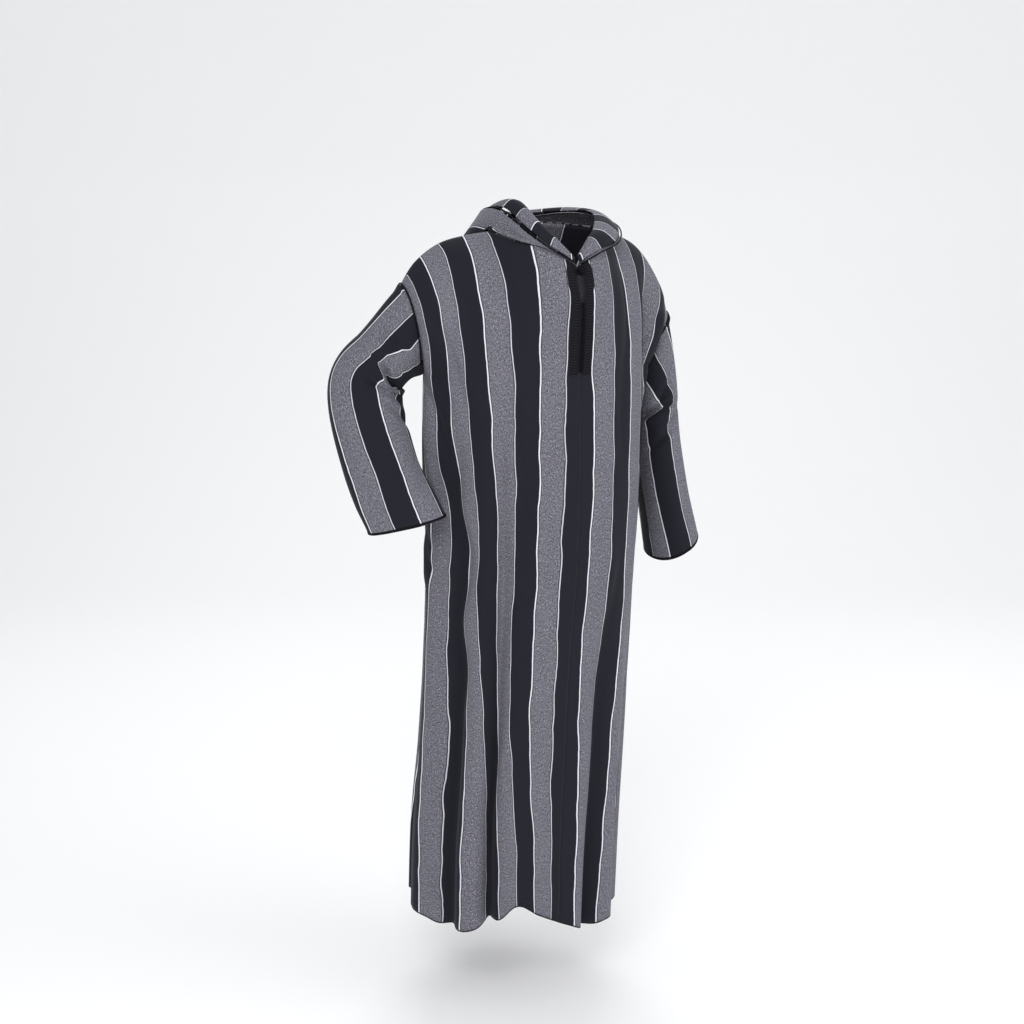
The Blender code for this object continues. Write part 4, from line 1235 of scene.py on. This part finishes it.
centre = (bodies[(right, "front")][0][:, 0] + bodies[(left, "front")][0][:, 0]) / 2
drops = np.arange(knots["from"], knots["to"], knots["pitch"])
spots = np.stack([np.interp(drops, -centre[:, 2], centre[:, i]) for i in range(2)] + [-drops], -1)
spots[:, 1] -= cut["wall"] / 2 + knots["radius"] + knots["lift"]
row = knotMesh("knot_row", spots, knots["radius"], 14, 9)
place(row, ["knot_row"], "black_cord")
buttonAt = centre[0] - np.array([0.0, knotButton["out"], knotButton["down"]])
button = knotMesh("knot_button", [buttonAt], knotButton["radius"], 30, 20)
place(button, ["knot_button"], "black_cord")
turn = np.linspace(*buttonLoop["ends"], 60)
ring = [buttonLoop["radius"] * np.sin(turn), np.full_like(turn, buttonLoop["out"]),
        buttonLoop["radius"] * np.cos(turn)]
loop = tubeMesh("button_loop", buttonAt + np.stack(ring, -1), buttonLoop["cord"], materials["cord"],
                sides=10, twist=900.0, relief=0.3)
place(loop, ["button_loop"], "black_cord")
print("fastening made")

# plain pale floor curving up behind, out of the object
studio = {"floor": -1.520, "half": 9.0, "behind": 3.2, "rise": 5.0, "bend": 1.6, "azimuth": -27.0,
          "roughness": 0.9, "litAt": (0, 0, -0.65), "sky": (0.96, 0.97, 1.0, 1), "skyStrength": 0.62}
turns = np.linspace(0, pi / 2, 25)
behind, bend, half = studio["behind"], studio["bend"], studio["half"]
profile = [(-half, 0.0)] + [(behind + bend * sin(a), bend * (1 - cos(a))) for a in turns]
profile += [(behind + bend, studio["rise"])]
aim = radians(studio["azimuth"])
ahead, aside = np.array([-sin(aim), cos(aim), 0.0]), np.array([cos(aim), sin(aim), 0.0])
sweep = np.array([[ahead * y + aside * x + np.array([0, 0, studio["floor"] + z]) for x in (-half, half)]
                  for y, z in profile])
backMaterial = bpy.data.materials.new("studio_paper")
backMaterial.use_nodes = True
paper = backMaterial.node_tree.nodes["Principled BSDF"]
paper.inputs["Base Color"].default_value = colours["floor"]
paper.inputs["Roughness"].default_value = studio["roughness"]
flatMap = np.zeros(sweep.shape[:2])
floor = gridMesh("studio_floor", sweep, flatMap, flatMap, backMaterial)

lights = {
    "key": {"at": (-2.6, -3.4, 2.1), "size": 2.6, "power": 120.0},
    "fill": {"at": (2.9, -2.8, 0.9), "size": 3.0, "power": 55.0},
    "rim": {"at": (1.2, 2.4, 2.2), "size": 2.2, "power": 45.0},
}
for name, light in lights.items():
    data = bpy.data.lights.new(name, "AREA")
    data.size = light["size"]
    data.energy = light["power"]
    lamp = bpy.data.objects.new(name, data)
    lamp.location = light["at"]
    away = Vector(light["at"]) - Vector(studio["litAt"])
    lamp.rotation_euler = away.to_track_quat("Z", "Y").to_euler()
    bpy.context.scene.collection.objects.link(lamp)
world = bpy.data.worlds.new("studio")
world.use_nodes = True
sky = world.node_tree.nodes["Background"].inputs
sky["Color"].default_value = studio["sky"]
sky["Strength"].default_value = studio["skyStrength"]
bpy.context.scene.world = world
bpy.context.scene.view_settings.view_transform = "Standard"

# the camera looks the way the floor runs
camera = {"away": 3.1, "height": 0.09, "tilt": 11.5, "aside": 0.0715, "lens": 56.99, "sensor": 36.0,
          "shiftUp": 0.0056}
tilt = radians(camera["tilt"])
eye = -ahead * camera["away"] - aside * camera["aside"] + np.array([0, 0, camera["height"]])
look = Vector(ahead * cos(tilt) - np.array([0, 0, sin(tilt)]))
lens = bpy.data.cameras.new("camera")
lens.lens = camera["lens"]
lens.sensor_width = camera["sensor"]
lens.shift_y = camera["shiftUp"]
lens.dof.use_dof = False
eyePiece = bpy.data.objects.new("camera", lens)
eyePiece.location = eye
eyePiece.rotation_euler = look.to_track_quat("-Z", "Y").to_euler()
bpy.context.scene.collection.objects.link(eyePiece)
bpy.context.scene.camera = eyePiece
